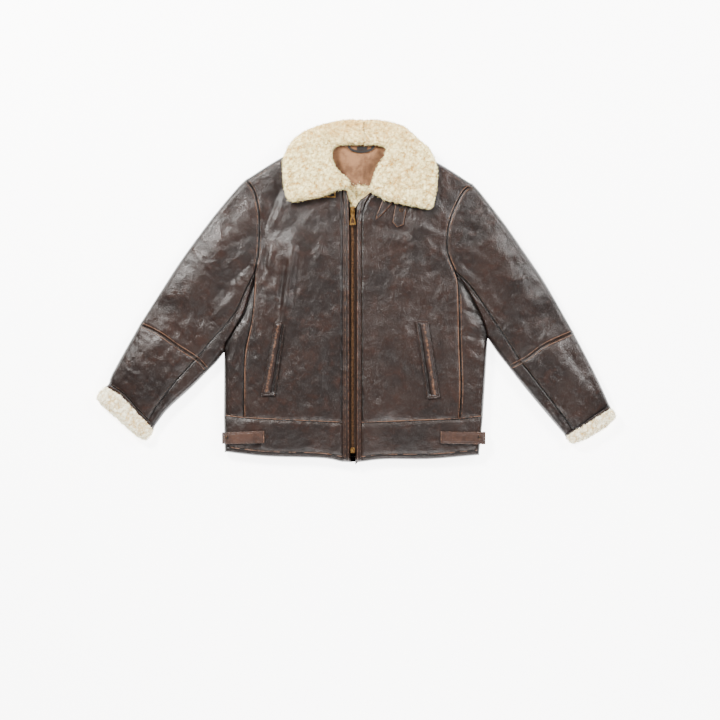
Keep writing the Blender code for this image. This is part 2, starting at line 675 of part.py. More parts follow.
def make_collar(side):
    shape = COLLAR[side]
    near = np.array(COLLAR_STEPS)
    share = np.concatenate([COLLAR_FRONT_STEPS, np.linspace(COLLAR_ROWS_FROM, 1, 13)])
    outer = at_fractions(smooth_line(shape["outer"]), share)
    inner = at_fractions(smooth_line(shape["inner"]), share)
    centre = np.vstack([outer[-1], inner[-1]])
    front = smooth_line(shape["front"])

    def columns(width, down):
        steps = near / width
        middle = np.linspace(steps[-1], 1 - steps[-1], 5)
        return np.concatenate([steps[:-1], middle, 1 - steps[:-1][::-1]])

    grid = span_grid(outer, inner, front, centre, columns)
    border = np.vstack([grid[:, 0][::-1], grid[0, 1:], grid[1:, -1]])
    edge = distance_to(border, grid)
    round_edge = round_off(edge, COLLAR_RADIUS)
    low = collar_under(grid)
    base = low + 0.3 * COLLAR_WALL * (1 - round_edge)
    high = low + COLLAR_WALL * (0.5 + 0.5 * round_edge)
    upper = with_height(grid, high)
    lower = with_height(grid, base)
    loft("collar_" + side, np.concatenate([upper, lower[:, ::-1]], axis=1), "wool")


def make_neck():
    facing = np.asarray(FACING, float)
    first = at_fractions(facing[[0, 3]], np.linspace(0, 1, 5))
    last = at_fractions(facing[[1, 2]], np.linspace(0, 1, 5))
    grid = span_grid(first, last, facing[[0, 1]], facing[[3, 2]], even_columns(5))
    facing_low = MIDDLE + LAYER_GAP
    facing_high = facing_low + FACING_THICK
    level = lambda height: (lambda points: np.full(points.shape[:-1], height))
    wall("neck_facing", grid, level(facing_low), level(facing_high), "facing")
    (x0, x1), (y0, y1) = LABEL["x"], LABEL["y"]
    label_low = facing_high + SEAM_GAP
    label_high = label_low + LABEL_THICK
    corners = [(x0, y0), (x1, y0), (x1, y1), (x0, y1)]
    prism("neck_label", corners, [label_low] * 4, [label_high] * 4, "trim")
    start, end = LOOP["ends"]
    low = label_high + SEAM_GAP
    turn = np.linspace(0, math.pi, 11)
    middle = (start + end) / 2
    radius = (end - start) / 2
    path = np.stack([middle - radius * np.cos(turn),
                     LOOP["end_y"] - (LOOP["end_y"] - LOOP["low_y"]) * np.sin(turn)], axis=1)
    across = unit(np.gradient(path, axis=0))
    square = np.stack([-across[:, 1], across[:, 0]], axis=1) * LOOP["width"] / 2
    loops = []
    for left, right in zip(path - square, path + square):
        high = low + LOOP["thick"]
        loops.append([(*left, low), (*right, low), (*right, high), (*left, high)])
    loft("hanger_loop", loops, "trim")


# Trim that lies on the fronts

def make_welt(side):
    corner = np.asarray(SIDES[side]["welt"], float)
    first = at_fractions(corner[[0, 3]], np.linspace(0, 1, 8))
    last = at_fractions(corner[[1, 2]], np.linspace(0, 1, 8))
    grid = span_grid(first, last, corner[[0, 1]], corner[[3, 2]], even_columns(4))
    under = lambda points: front_top(points) + WELT_LIFT
    top = lambda points: front_top(points) + WELT_LIFT + WELT_THICK
    wall("pocket_welt_" + side, grid, under, top)


def eyelet(node, centre, height):
    """A turned brass ring with a round hole."""
    hole, outer, high, sides = (EYELET[name] for name in ("hole", "outer", "high", "sides"))
    profile = [(hole, 0.0), (outer, 0.0), (outer, high * 0.5), ((outer + hole) / 2, high), (hole, high * 0.6)]
    points = []
    for step in range(sides):
        angle = 2 * math.pi * step / sides
        for radius, rise in profile:
            x, y = centre[0] + radius * math.cos(angle), centre[1] + radius * math.sin(angle)
            points.append((x, y, height + rise))
    faces = []
    count = len(profile)
    for step in range(sides):
        other = (step + 1) % sides
        for place in range(count):
            after = (place + 1) % count
            faces.append((step * count + place, other * count + place,
                          other * count + after, step * count + after))
    add_piece(node, points, faces, "brass")


def make_side_tab(side):
    """A strap end from the side edge to its stitched end on the hem band."""
    shape = SIDES[side]
    edge_x, end_x = shape["tab_x"]
    edge_top, edge_low, end_top, end_low = shape["tab_y"]
    inwards = 1 if end_x > edge_x else -1
    body_edge = at_fractions(smooth_line(shape["band_edge"]), [0.5])[0, 0]
    share = np.concatenate([np.array(TAB_STEPS) / abs(end_x - body_edge), np.linspace(0.5, 1, 4)])
    path_x = body_edge + share * (end_x - body_edge)
    loops = []
    for x in path_x:
        down = (x - edge_x) / (end_x - edge_x)
        upper_y = edge_top + down * (end_top - edge_top)
        lower_y = edge_low + down * (end_low - edge_low)
        rim = np.array([[x, upper_y], [x, lower_y]])
        by_edge = abs(x - body_edge) < TAB_WRAP["edge_zone"]
        level = float(front_top(rim).max()) + TRIM_LIFT + TAB_WRAP["edge_lift"] * by_edge
        loops.append([(x, upper_y, level), (x, lower_y, level),
                      (x, lower_y, level + TAB_THICK), (x, upper_y, level + TAB_THICK)])
    out = body_edge - inwards * TAB_WRAP["gap"]
    far = edge_x - inwards * TAB_WRAP["reach"]
    low, high = TAB_WRAP["low"], TAB_WRAP["high"]
    first = [(out, edge_top, low), (out, edge_low, low), (far, edge_low, low), (far, edge_top, low)]
    second = [(out, edge_top, high), (out, edge_low, high),
              (far, edge_low, high + 1), (far, edge_top, high + 1)]
    loft("side_tab_" + side, [first, second] + loops, "tab_leather")


def make_throat_trim():
    for node, outline in THROAT_STRAPS.items():
        low = front_top(np.asarray(outline, float)).max() + TRIM_LIFT
        prism(node, outline, [low] * len(outline), [low + STRAP_THICK] * len(outline), "leather")
    outer_strap = np.asarray(THROAT_STRAPS["throat_strap_outer"], float)
    strap_top = front_top(outer_strap).max() + TRIM_LIFT + STRAP_THICK
    eyelet("throat_strap_eyelet", STRAP_EYELET, strap_top + SEAM_GAP)


def make_buckle():
    (x0, x1), (y0, y1), bar = BUCKLE["x"], BUCKLE["y"], BUCKLE["bar"]
    frame_outer = [(x0, y0), (x1, y0), (x1, y1), (x0, y1)]
    frame_inner = [(x0 + bar, y0 + bar), (x1 - bar, y0 + bar), (x1 - bar, y1 - bar), (x0 + bar, y1 - bar)]
    low = float(front_top(np.asarray(frame_outer, float)).max()) + TRIM_LIFT
    levels = (low, low + bar)
    points = [(*corner, level) for level in levels for ring in (frame_outer, frame_inner) for corner in ring]
    faces = []
    for step in range(4):
        after = (step + 1) % 4
        faces.append((step, after, 4 + after, 4 + step))
        faces.append((8 + step, 8 + after, 12 + after, 12 + step))
        faces.append((step, after, 8 + after, 8 + step))
        faces.append((4 + step, 4 + after, 12 + after, 12 + step))
    add_piece("throat_buckle", points, faces, "brass")
    strap_low = front_top(np.asarray(BUCKLE_STRAP, float)).max() + TRIM_LIFT
    prism("throat_buckle_strap", BUCKLE_STRAP, [strap_low] * 4, [strap_low + STRAP_THICK] * 4, "leather")


# Zip

def bar(node, x_range, y_range, z_range, kind):
    """A straight bar with a rectangular section."""
    (x0, x1), (y0, y1), (z0, z1) = x_range, y_range, z_range
    corners = [(x0, y0), (x1, y0), (x1, y1), (x0, y1)]
    return prism(node, corners, [z0] * 4, [z1] * 4, kind)


def hide_tool(tool):
    tool.hide_render = True
    tool.display_type = "WIRE"


def combine(body, tool, operation):
    step = body.modifiers.new(operation.lower(), "BOOLEAN")
    step.operation = operation
    step.object = tool
    step.solver = "EXACT"
    hide_tool(tool)


def make_zip():
    ridge = float(front_top(np.array([[ZIP_X, 100.0]]))[0]) + PLACKET_RISE
    tape_low = ridge - TAPE_DROP
    tape_high = tape_low + TAPE_THICK
    chain_low = tape_high + SEAM_GAP
    chain_high = chain_low + TEETH_HIGH
    half_gap = LAYER_GAP
    for side, x_range in (("right", (TAPE_X[0], ZIP_X - half_gap)), ("left", (ZIP_X + half_gap, TAPE_X[1]))):
        bar("zip_tape_" + side, x_range, (ZIP_END_Y, TAPE_TOP_Y), (tape_low, tape_high), "tape")
    chain_start = BOTTOM_STOP[3][1] + 1
    bar("zip_teeth", (ZIP_X - TEETH_HALF, ZIP_X + TEETH_HALF), (chain_start, PULL["slider_y"][0] - SEAM_GAP),
        (chain_low, chain_high), "brass")
    make_slider(chain_high + SEAM_GAP, ridge)
    make_pull(ridge)
    prism("zip_slider_bottom", BOTTOM_STOP, [chain_low] * 6, [ridge - SLIDER_DROP] * 6, "brass")


def make_slider(low, ridge):
    """Slider body with the arch that the pull's eye hangs on."""
    y0, y1 = PULL["slider_y"]
    body_top = ridge - SLIDER_DROP
    outline = [(ZIP_X - 3, y0), (ZIP_X + 3, y0), (ZIP_X + 4.4, y1), (ZIP_X - 4.4, y1)]
    body = prism("zip_slider_top", outline, [low] * 4, [body_top] * 4, "brass")
    half = PULL["arch_width"] / 2
    under, over = body_top + ARCH["under"], body_top + ARCH["over"]
    low_leg, high_leg = y0 + ARCH["inset"][0], y1 - ARCH["inset"][1]
    root = body_top - 1
    low_gap, high_gap = low_leg + ARCH["legs"][0], high_leg - ARCH["legs"][1]
    side_view = [(high_leg, root), (high_leg, over), (low_leg, over), (low_leg, root),
                 (low_gap, root), (low_gap, under), (high_gap, under), (high_gap, root)]
    points = [(x, y, z) for x in (ZIP_X - half, ZIP_X + half) for y, z in side_view]
    count = len(side_view)
    faces = [tuple(range(count)), tuple(range(count, 2 * count))]
    faces += [(step, (step + 1) % count, count + (step + 1) % count, count + step) for step in range(count)]
    combine(body, add_piece("slider_arch", points, faces, "brass"), "UNION")


def make_pull(ridge):
    """Flat frame pull: an eye bar under the arch, a slot either side of it, a wide end with a hole."""
    low = ridge + SEAM_GAP
    high = low + PULL["thick"]
    eye_y = PULL["axis_y"]

    def mirrored(half_outline):
        return [(ZIP_X + x, eye_y + y) for x, y in half_outline] + \
            [(ZIP_X - x, eye_y + y) for x, y in reversed(half_outline)]

    outline = mirrored(PULL_OUTLINE)
    body = prism("zip_pull", outline, [low] * 10, [high] * 10, "brass")
    for name, hole in (("pull_slot", mirrored(PULL_SLOT)), ("pull_window", mirrored(PULL_WINDOW))):
        cutter = prism(name, hole, [low - 1] * len(hole), [high + 1] * len(hole), "brass")
        combine(body, cutter, "DIFFERENCE")


def main():
    clear_scene()
    lines = {side: side_lines(side) for side in SIDES}
    for side in SIDES:
        make_front(side, lines[side])
        make_side_panel(side, lines[side])
        make_placket(side, lines[side])
        make_front_hem(side, lines[side])
        sleeve_end = make_sleeve(side, lines[side])
        make_cuff(side, lines[side], sleeve_end)
        make_collar(side)
        make_welt(side)
        make_side_tab(side)
    make_back(lines)
    make_back_hem(lines)
    make_neck()
    make_throat_trim()
    make_buckle()
    make_zip()


main()
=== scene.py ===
# %% [markdown]
# # A shearling jacket, laid flat
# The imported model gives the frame: every solid piece at its real size and place.
# This script dresses it. Thin leather skins, wool, thread and brass take the place of the plain
# solids, and each one rides on the body that its solid belongs to.

# %% Load the frame
import json
import math

import bpy
import numpy as np
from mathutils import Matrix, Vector

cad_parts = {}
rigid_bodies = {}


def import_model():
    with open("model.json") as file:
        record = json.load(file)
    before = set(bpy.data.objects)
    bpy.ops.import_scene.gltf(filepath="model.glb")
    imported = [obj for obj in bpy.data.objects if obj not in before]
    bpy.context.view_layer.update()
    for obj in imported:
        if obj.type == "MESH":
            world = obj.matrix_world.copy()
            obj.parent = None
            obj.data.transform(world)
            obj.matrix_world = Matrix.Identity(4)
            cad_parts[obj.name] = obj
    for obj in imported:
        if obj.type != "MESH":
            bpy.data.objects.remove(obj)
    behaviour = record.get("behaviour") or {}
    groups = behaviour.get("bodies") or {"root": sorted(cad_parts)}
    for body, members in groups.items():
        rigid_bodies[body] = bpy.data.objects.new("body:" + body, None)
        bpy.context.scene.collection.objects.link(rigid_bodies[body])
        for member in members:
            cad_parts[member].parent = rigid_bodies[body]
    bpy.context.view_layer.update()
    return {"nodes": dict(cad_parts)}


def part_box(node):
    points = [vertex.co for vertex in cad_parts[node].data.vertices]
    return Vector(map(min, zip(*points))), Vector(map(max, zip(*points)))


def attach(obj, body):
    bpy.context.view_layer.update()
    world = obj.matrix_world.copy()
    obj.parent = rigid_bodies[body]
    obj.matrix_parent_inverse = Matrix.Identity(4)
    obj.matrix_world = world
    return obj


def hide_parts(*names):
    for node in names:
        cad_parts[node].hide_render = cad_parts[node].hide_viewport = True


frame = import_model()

MM = 0.001
print("Nodes in the frame:", len(frame["nodes"]))

# %% [markdown]
# ## Camera, floor and light
# A jacket for sale is photographed from a rig straight above a white table. A long lens high up keeps
# the sleeves from leaning outwards, so the camera hangs 3.5 m above the floor and looks straight down.
# Two broad lamps from the collar side and a weaker one from the hem give the leather its soft glints.

# %% Camera, floor and light
PHOTO_WIDTH = 1.584                  # metres that the photograph spans at the jacket
PHOTO_MIDDLE = (0.0088, -0.1529)     # the floor point in the middle of the photograph
HALF_THICKNESS = 0.03                # the photograph's scale is taken half way up the jacket
FLOOR_REACH, FLOOR_DROP = 4.0, 0.0004
TABLE_GLOW = 5.6                     # a table lit from below hides the shadows
LAMPS = (        # name, place, width in metres, watts, colour
    ("lamp_window", (-1.3, 1.4, 1.85), 0.6, 235, (1.0, 0.975, 0.94)),
    ("lamp_fill", (1.7, 1.0, 1.8), 0.9, 135, (1.0, 0.98, 0.96)),
    ("lamp_hem", (0.2, -1.9, 1.75), 1.0, 70, (1.0, 0.98, 0.96)),
)


def aim(item, target):
    """Turn an object's -Z axis to look at a point."""
    item.rotation_euler = (Vector(target) - item.location).to_track_quat("-Z", "Y").to_euler()


def make_camera():
    view = bpy.data.cameras.new("camera")
    view.lens, view.sensor_width = 80.0, 36.0
    made = bpy.data.objects.new("camera", view)
    height = PHOTO_WIDTH * view.lens / view.sensor_width
    made.location = (*PHOTO_MIDDLE, height + HALF_THICKNESS)
    bpy.context.scene.collection.objects.link(made)
    bpy.context.scene.camera = made
    print("Camera height in metres:", round(made.location.z, 3))


def make_lamp(name, place, size, watts, colour):
    light = bpy.data.lights.new(name, "AREA")
    light.shape, light.size, light.energy, light.color = "DISK", size, watts, colour
    made = bpy.data.objects.new(name, light)
    made.location = place
    aim(made, (0, 0, 0))
    bpy.context.scene.collection.objects.link(made)


def faceted_mesh(name, points, faces):
    """A flat-faced object from points in metres."""
    mesh = bpy.data.meshes.new(name)
    mesh.from_pydata(points, [], faces)
    made = bpy.data.objects.new(name, mesh)
    bpy.context.scene.collection.objects.link(made)
    return made


def make_floor():
    corners = [(x * FLOOR_REACH, y * FLOOR_REACH, 0) for x, y in ((-1, -1), (1, -1), (1, 1), (-1, 1))]
    made = faceted_mesh("floor", corners, [(0, 1, 2, 3)])
    made.location.z = -FLOOR_DROP
    white = bpy.data.materials.new("floor_white")
    white.use_nodes = True
    shader = white.node_tree.nodes["Principled BSDF"]
    shader.inputs["Base Color"].default_value = (0.95, 0.95, 0.945, 1)
    shader.inputs["Emission Color"].default_value = (1, 1, 1, 1)
    shader.inputs["Emission Strength"].default_value = TABLE_GLOW
    shader.inputs["Roughness"].default_value = 0.85
    made.data.materials.append(white)


make_camera()
make_floor()
for lamp in LAMPS:
    make_lamp(*lamp)
world = bpy.data.worlds.new("studio")
world.use_nodes = True
sky = world.node_tree.nodes["Background"].inputs
sky["Color"].default_value, sky["Strength"].default_value = (0.95, 0.97, 1.0, 1), 0.24
bpy.context.scene.world = world

# %% [markdown]
# ## The cut of the jacket
# A garment is drawn by its seams. Each side has the same lines, the shoulder, the armhole, the seams of
# the sleeve, the side and the hem, and since this jacket was laid down by hand the two sides differ a
# little. The points are in millimetres, X to the wearer's left and Y to the collar. They are the lines
# that the solids were cut on, so a skin made from them lies on its solid.

# %% Seam lines of both sides
SIDES = {
    "right": {
        "shoulder": [(-79, 329), (-160, 297), (-243, 246)],
        "armhole": [(-243, 246), (-224, 217), (-214.5, 175), (-212.5, 134), (-215, 82), (-222, 41)],
        "underarm": [(-222, 41), (-233, 0), (-249, -50), (-282, -95), (-291, -135)],
        "side_seam": [(-222, 41), (-229, -58), (-245, -140), (-247, -221), (-247, -281)],
        "side_edge": [(-291, -135), (-291.5, -200), (-292, -276)],
        "band_edge": [(-292, -276), (-291.5, -310), (-290.5, -344)],
        "hem_edge": [(-290, -356), (-200, -366), (-78, -370), (-30, -378)],
        "hem_seam": [(-292, -276), (-247, -281), (-30, -291)],
        "neckline": [(-79, 329), (-66, 318), (-63, 292), (-55, 270), (-38, 250), (-34, 226)],
        "placket_outer": [(-34, 226), (-30, 180), (-30, -100), (-30, -291)],
        "placket_inner": [(-20, 219), (-13, 186), (-12.6, 150), (-12.5, -330), (-12.5, -368), (-8, -379)],
        "outer_upper": [(-243, 246), (-264, 225.5), (-319, 159.5), (-387, 67), (-438, -12), (-477, -73)],
        "outer_fore": [(-477, -73), (-510, -131), (-539, -184), (-546, -205)],
        "under_upper": [(-222, 41), (-240, 5), (-270, -55), (-322, -115), (-351, -150)],
        "under_fore": [(-351, -150), (-404, -209), (-457, -280)],
        "inner_upper": [(-291, -135), (-308, -157), (-326.5, -176)],
        "inner_fore": [(-326.5, -176), (-363, -213), (-416, -262), (-444, -298)],
        "elbow": [(-477, -73), (-432, -95), (-392, -123), (-351, -150), (-326.5, -176)],
        "sleeve_end": [(-546, -205), (-509.5, -229), (-481, -262), (-457, -286), (-444, -298)],
        "cuff_outer": [(-552, -211), (-566, -222), (-574, -238)],
        "cuff_inner": [(-447, -306), (-452, -318), (-463, -331)],
        "wool_end": [(-574, -238), (-559, -257), (-528, -283), (-489, -319), (-463, -331)],
        "welt": [(-177.5, -67), (-155.5, -76), (-178, -232), (-209, -232)],
    },
    "left": {
        "shoulder": [(84, 327), (179, 284), (259.6, 234)],
        "armhole": [(259.6, 234), (238, 219), (222, 191), (209, 160), (202, 129), (201, 85), (217, 42)],
        "underarm": [(217, 42), (238, 15), (262, -27.5), (282, -70), (291, -104.5)],
        "side_seam": [(217, 42), (225, 10), (228, -106.5), (231, -212), (228, -283)],
        "side_edge": [(291, -104.5), (287, -173), (280.5, -277)],
        "band_edge": [(280.5, -277), (279, -310), (274, -351)],
        "hem_edge": [(272, -363), (163, -372), (64, -372.5), (12, -378)],
        "hem_seam": [(280.5, -277), (228, -283), (12, -291.5)],
        "neckline": [(84, 327), (84, 312), (59, 275), (47, 245), (42, 222)],
        "placket_outer": [(42, 222), (17, 180), (12, 120), (12, -291.5)],
        "placket_inner": [(27, 213), (2, 189), (-1.5, 140), (-1.5, -100), (-1.5, -359), (-2, -379.5)],
        "outer_upper": [(259.6, 234), (279, 212), (330, 146), (376, 80), (420, 14), (480, -91)],
        "outer_fore": [(480, -91), (508, -144), (535, -197), (560, -252)],
        "under_upper": [(217, 42), (247, 14), (282, -34), (322, -94), (362, -157)],
        "under_fore": [(362, -157), (418, -228), (476, -302)],
        "inner_upper": [(291, -104.5), (313, -137.5), (338, -169)],
        "inner_fore": [(338, -169), (368, -208), (411, -260), (460, -317)],
        "elbow": [(480, -91), (419, -118), (380, -146), (362, -157), (338, -169)],
        "sleeve_end": [(560, -252), (524, -276), (499, -294), (476, -308), (460, -317)],
        "cuff_outer": [(563, -259), (570, -266), (574, -278)],
        "cuff_inner": [(463, -323), (469, -331), (480, -338)],
        "wool_end": [(574, -278), (560, -296), (537, -311), (505, -329), (480, -338)],
        "welt": [(130, -66), (159, -68), (185, -236), (156, -238)],
    },
}
NECK_BACK = [(-79, 329), (-55, 322), (10, 320), (60, 321), (84, 327)]
HEM_BINDING = 12.0


def lengths_along(points):
    steps = np.linalg.norm(np.diff(points, axis=0), axis=1)
    return np.concatenate([[0.0], np.cumsum(steps)])


def at_fractions(points, fractions):
    """Points at the given shares of a line's length."""
    points = np.asarray(points, float)
    along = lengths_along(points)
    wanted = np.asarray(fractions) * along[-1]
    return np.stack([np.interp(wanted, along, points[:, axis]) for axis in range(points.shape[1])], axis=-1)


def smooth_line(knots, per_span=12):
    """A dense Catmull-Rom curve through a few given points."""
    knots = np.asarray(knots, float)
    padded = np.vstack([2 * knots[0] - knots[1], knots, 2 * knots[-1] - knots[-2]])
    step = np.linspace(0, 1, per_span, endpoint=False)[:, None]
    spans = []
    for before, start, end, after in zip(padded, padded[1:], padded[2:], padded[3:]):
        slope = (end - before) * step
        bend = (2 * before - 5 * start + 4 * end - after) * step ** 2
        twist = (3 * start - before - 3 * end + after) * step ** 3
        spans.append(0.5 * (2 * start + slope + bend + twist))
    return np.vstack(spans + [knots[-1:]])


STRAIGHT = ("hem_seam", "welt")
LINES = {side: {name: smooth_line(knots) for name, knots in shape.items() if name not in STRAIGHT}
         for side, shape in SIDES.items()}
for side, lines in LINES.items():
    lines["hem_seam"] = np.array(SIDES[side]["hem_seam"], float)
    lines["hem_top"] = lines["hem_edge"] + np.array([0.0, HEM_BINDING])
print("Sleeve edge, shoulder to elbow, in mm:",
      {side: round(float(lengths_along(lines["outer_upper"])[-1])) for side, lines in LINES.items()})

# %% [markdown]
# ## How high the leather lies
# Sheepskin is thick: hide outside and a deep pile inside. Two layers of it make a slab about 35 mm high
# whose edges roll round. The height at any place is worked out from how far it lies from the outline,
# from how near the next seam is, since a seam pulls the pile down, and from a table of folds. Real
# creases are uneven, so the table names each large one by its two ends, its height and its width.

# %% Outline, folds and the height of the front layer
MIDDLE, LAYER_GAP, FRONT_WALL = 14.0, 0.2, 15.8      # the back's top, the gap, the front's wall, in mm
PUFF, PUFF_REACH = 4.0, 45.0                         # how much the middle swells, and from where
EDGE_RADIUS, EDGE_LIP = 12.0, 1.5                    # how the outer edge rolls down


def outline_loop():
    loop = []
    for side, line in LINES.items():
        there = ("shoulder", "outer_upper", "outer_fore", "cuff_outer", "wool_end")
        sleeve = [line[name] for name in there]
        sleeve += [line[name][::-1] for name in ("cuff_inner", "inner_fore", "inner_upper")]
        body = [line["side_edge"], line["band_edge"], line["hem_edge"], line["placket_inner"][-1:]]
        run = np.vstack(sleeve + body)
        loop.append(run if side == "right" else run[::-1])
    return np.vstack(loop + [np.array(NECK_BACK[::-1], float)])


def thin_out(line, step):
    """The same line with its points about a step apart."""
    count = max(2, int(lengths_along(line)[-1] / step))
    return at_fractions(line, np.linspace(0, 1, count))


def distance_to(line, points):
    """Shortest distance from each point to a chain of straight pieces, worked out in blocks."""
    flat = np.asarray(points, float).reshape(-1, 2)
    start = line[:-1]
    run = line[1:] - start
    keep = np.linalg.norm(run, axis=1) > 1e-6
    start, run = start[keep], run[keep]
    size = np.sum(run * run, axis=1)
    best = np.empty(len(flat))
    block = 4000                 # points at a time, to keep the arrays small
    for first in range(0, len(flat), block):
        rel = flat[first:first + block, None, :] - start[None]
        share = np.clip(np.sum(rel * run, axis=2) / size, 0, 1)
        best[first:first + block] = np.linalg.norm(rel - share[..., None] * run, axis=2).min(axis=1)
    return best.reshape(np.asarray(points).shape[:-1])


def round_off(distance, radius):
    """0 at an edge, rising as a quarter circle to 1."""
    left = 1 - np.clip(distance / radius, 0, 1)
    return np.sqrt(np.clip(1 - left ** 2, 0, 1))


def smooth_step(low, high, value):
    share = np.clip((value - low) / (high - low), 0, 1)
    return share * share * (3 - 2 * share)


# Broad folds, the same as in the solids
BROAD_FOLDS = [
    # x0, y0, x1, y1, height, width
    (-141, 95, -152, -60, 5.0, 26), (-172, 215, -205, 110, -4.0, 24), (-100, 120, -60, -40, 3.0, 40),
    (150, 180, 120, 20, 4.0, 34), (190, 30, 150, -60, -3.5, 26), (80, -60, 70, -240, 3.5, 40),
    (-110, -110, -95, -260, 3.5, 36), (-300, 100, -395, -40, 6.0, 36), (-330, -60, -420, -40, -4.0, 24),
    (-440, -120, -500, -190, 5.0, 30), (-392, -150, -420, -215, 4.0, 24), (300, 110, 390, -30, 6.0, 36),
    (330, -60, 420, -50, -4.0, 24), (440, -130, 505, -220, 5.0, 30), (395, -170, 440, -245, 4.0, 24),
]


def ridges(table, points):
    """Sum of soft ridges, each highest in its middle and fading to both ends."""
    total = np.zeros(points.shape[:-1])
    for x0, y0, x1, y1, height, width in table:
        start = np.array([x0, y0], float)
        run = np.array([x1 - x0, y1 - y0], float)
        share = np.sum((points - start) * run, axis=-1) / np.sum(run * run)
        nearest = start + np.clip(share, 0, 1)[..., None] * run
        gap = np.linalg.norm(points - nearest, axis=-1)
        total = total + height * np.exp(-(gap / width) ** 2)
    return total


OUTLINE = thin_out(outline_loop(), 5.0)


def front_top(points):
    """Upper face of the front layer, as in the solids."""
    edge = distance_to(OUTLINE, points)
    swell = PUFF * (1 - np.exp(-(edge / PUFF_REACH) ** 2)) + ridges(BROAD_FOLDS, points)
    wall = EDGE_LIP + (FRONT_WALL - EDGE_LIP) * round_off(edge, EDGE_RADIUS)
    return MIDDLE + LAYER_GAP + wall + swell * round_off(edge, EDGE_RADIUS)


print("Outline points:", len(OUTLINE))

# %% [markdown]
# ## Creases
# Old sheepskin keeps a record of how it was worn: short sharp creases fan out from the armpits and
# across the elbows, and the fronts have long soft ones. The main ones are listed below. Between
# them a seeded random scatter adds small ones, all running the way that the cloth is pushed there.

# %% Creases listed one by one, and the small scatter between them
CREASES = [
    # x0, y0, x1, y1, height, width
    (-138, 92, -150, 10, 4.2, 9), (-150, 10, -163, -70, 3.4, 9), (-126, 96, -137, -40, -3.4, 8),
    (-158, 60, -171, -60, -4.0, 7), (-196, 96, -206, 30, -2.6, 6), (-184, 110, -192, 40, 2.0, 7),
    (-168, 226, -207, 116, -2.6, 6), (-156, 212, -190, 128, 1.6, 8), (-205, 60, -176, 20, -1.8, 6),
    (-212, 30, -190, -40, 1.6, 7), (-60, 150, -90, 40, 1.4, 12), (-80, -150, -70, -260, 1.5, 12),
    (-200, -20, -215, -150, 1.3, 8), (-120, -240, -60, -262, -1.2, 9),
    (60, 120, 140, 96, 2.0, 12), (40, 142, 110, 128, -2.2, 9), (120, 150, 190, 120, 1.6, 10),
    (196, 60, 150, 30, -2.4, 9), (205, 30, 170, -30, 1.8, 9), (40, 60, 90, -30, 1.4, 14),
    (110, -20, 100, -200, 1.5, 11), (50, -120, 60, -270, 1.2, 13), (196, -80, 205, -230, 1.2, 8),
    (250, -10, 276, -36, 1.8, 5), (236, -40, 272, -58, -2.4, 6), (240, -64, 280, -90, 2.2, 6),
    (236, -96, 276, -108, -1.8, 6), (240, -130, 276, -160, 1.4, 8),
    (-240, -20, -262, -80, 1.6, 6), (-262, -100, -278, -190, 1.6, 8),
    (-235, 60, -275, 20, -2.4, 7), (-240, 85, -300, 40, 2.0, 9), (-236, 120, -292, 96, -1.6, 9),
    (-262, -10, -318, -62, 2.0, 8), (-280, 30, -338, -50, -1.6, 9), (-330, -20, -384, -96, 1.8, 10),
    (-350, -128, -420, -60, -1.6, 9), (-372, -128, -446, -84, 1.2, 8), (-360, 60, -420, -20, 1.6, 13),
    (-400, -130, -450, -180, 1.8, 10), (-430, -118, -482, -176, -1.8, 9), (-470, -110, -512, -170, 1.5, 9),
    (-392, -180, -440, -236, -1.5, 9), (-480, -150, -446, -200, 1.4, 8), (-500, -186, -520, -214, -1.2, 5),
    (225, 70, 280, 20, -2.4, 8), (222, 100, 300, 60, 2.0, 10), (226, 140, 296, 118, -1.5, 10),
    (268, -14, 312, -72, 2.0, 8), (300, 10, 350, -60, -1.8, 10), (330, -30, 384, -110, 1.8, 10),
    (360, 70, 412, 0, 1.6, 14), (366, -130, 430, -70, -1.7, 9), (400, -112, 452, -70, 1.3, 8),
    (420, -130, 470, -190, 1.8, 10), (452, -118, 500, -186, -1.8, 9), (486, -110, 530, -190, 1.4, 9),
    (396, -176, 446, -240, -1.5, 9), (470, -200, 502, -250, 1.4, 8), (515, -200, 540, -244, -1.2, 7),
]


def scatter_creases(seed, box, heading, count):
    """Short creases inside a box, near one heading in degrees."""
    dice = np.random.default_rng(seed)
    (x0, x1), (y0, y1) = box
    rows = []
    for _ in range(count):
        x, y = dice.uniform(x0, x1), dice.uniform(y0, y1)
        angle = math.radians(heading + dice.normal(0, 24))
        reach = dice.uniform(9, 34)
        height = dice.choice([-1, 1]) * dice.uniform(0.25, 0.8)
        end = (x + reach * math.cos(angle), y + reach * math.sin(angle))
        rows.append((x, y, *end, height, dice.uniform(2.6, 5.5)))
    return rows


SCATTERS = (         # seed, box in X and Y, heading in degrees, how many
    (11, ((-215, -40), (-280, 220)), 95, 60), (12, ((20, 215), (-280, 200)), 80, 60),
    (13, ((-300, -225), (-60, 200)), -40, 40), (14, ((-400, -300), (-120, 110)), -52, 50),
    (15, ((-540, -400), (-280, -60)), -50, 44), (16, ((225, 310), (-60, 200)), -140, 40),
    (17, ((300, 420), (-150, 90)), -128, 50), (18, ((400, 550), (-310, -80)), -125, 44),
    (19, ((-288, -245), (-270, -60)), 85, 22), (20, ((232, 286), (-270, -20)), 20, 34),
)
SMALL_CREASES = [row for scatter in SCATTERS for row in scatter_creases(*scatter)]


LATTICE = 256


def value_noise(points, cell, seed):
    """Smooth bumps from a seeded lattice, between -1 and 1."""
    lattice = np.random.default_rng(seed).uniform(-1, 1, (LATTICE + 1, LATTICE + 1))
    place = points / cell + LATTICE // 4
    base = np.floor(place).astype(int)
    part = place - base
    part = part * part * (3 - 2 * part)
    column, row = base[..., 0] % LATTICE, base[..., 1] % LATTICE
    low = lattice[column, row] * (1 - part[..., 0]) + lattice[column + 1, row] * part[..., 0]
    high = lattice[column, row + 1] * (1 - part[..., 0]) + lattice[column + 1, row + 1] * part[..., 0]
    return low * (1 - part[..., 1]) + high * part[..., 1]


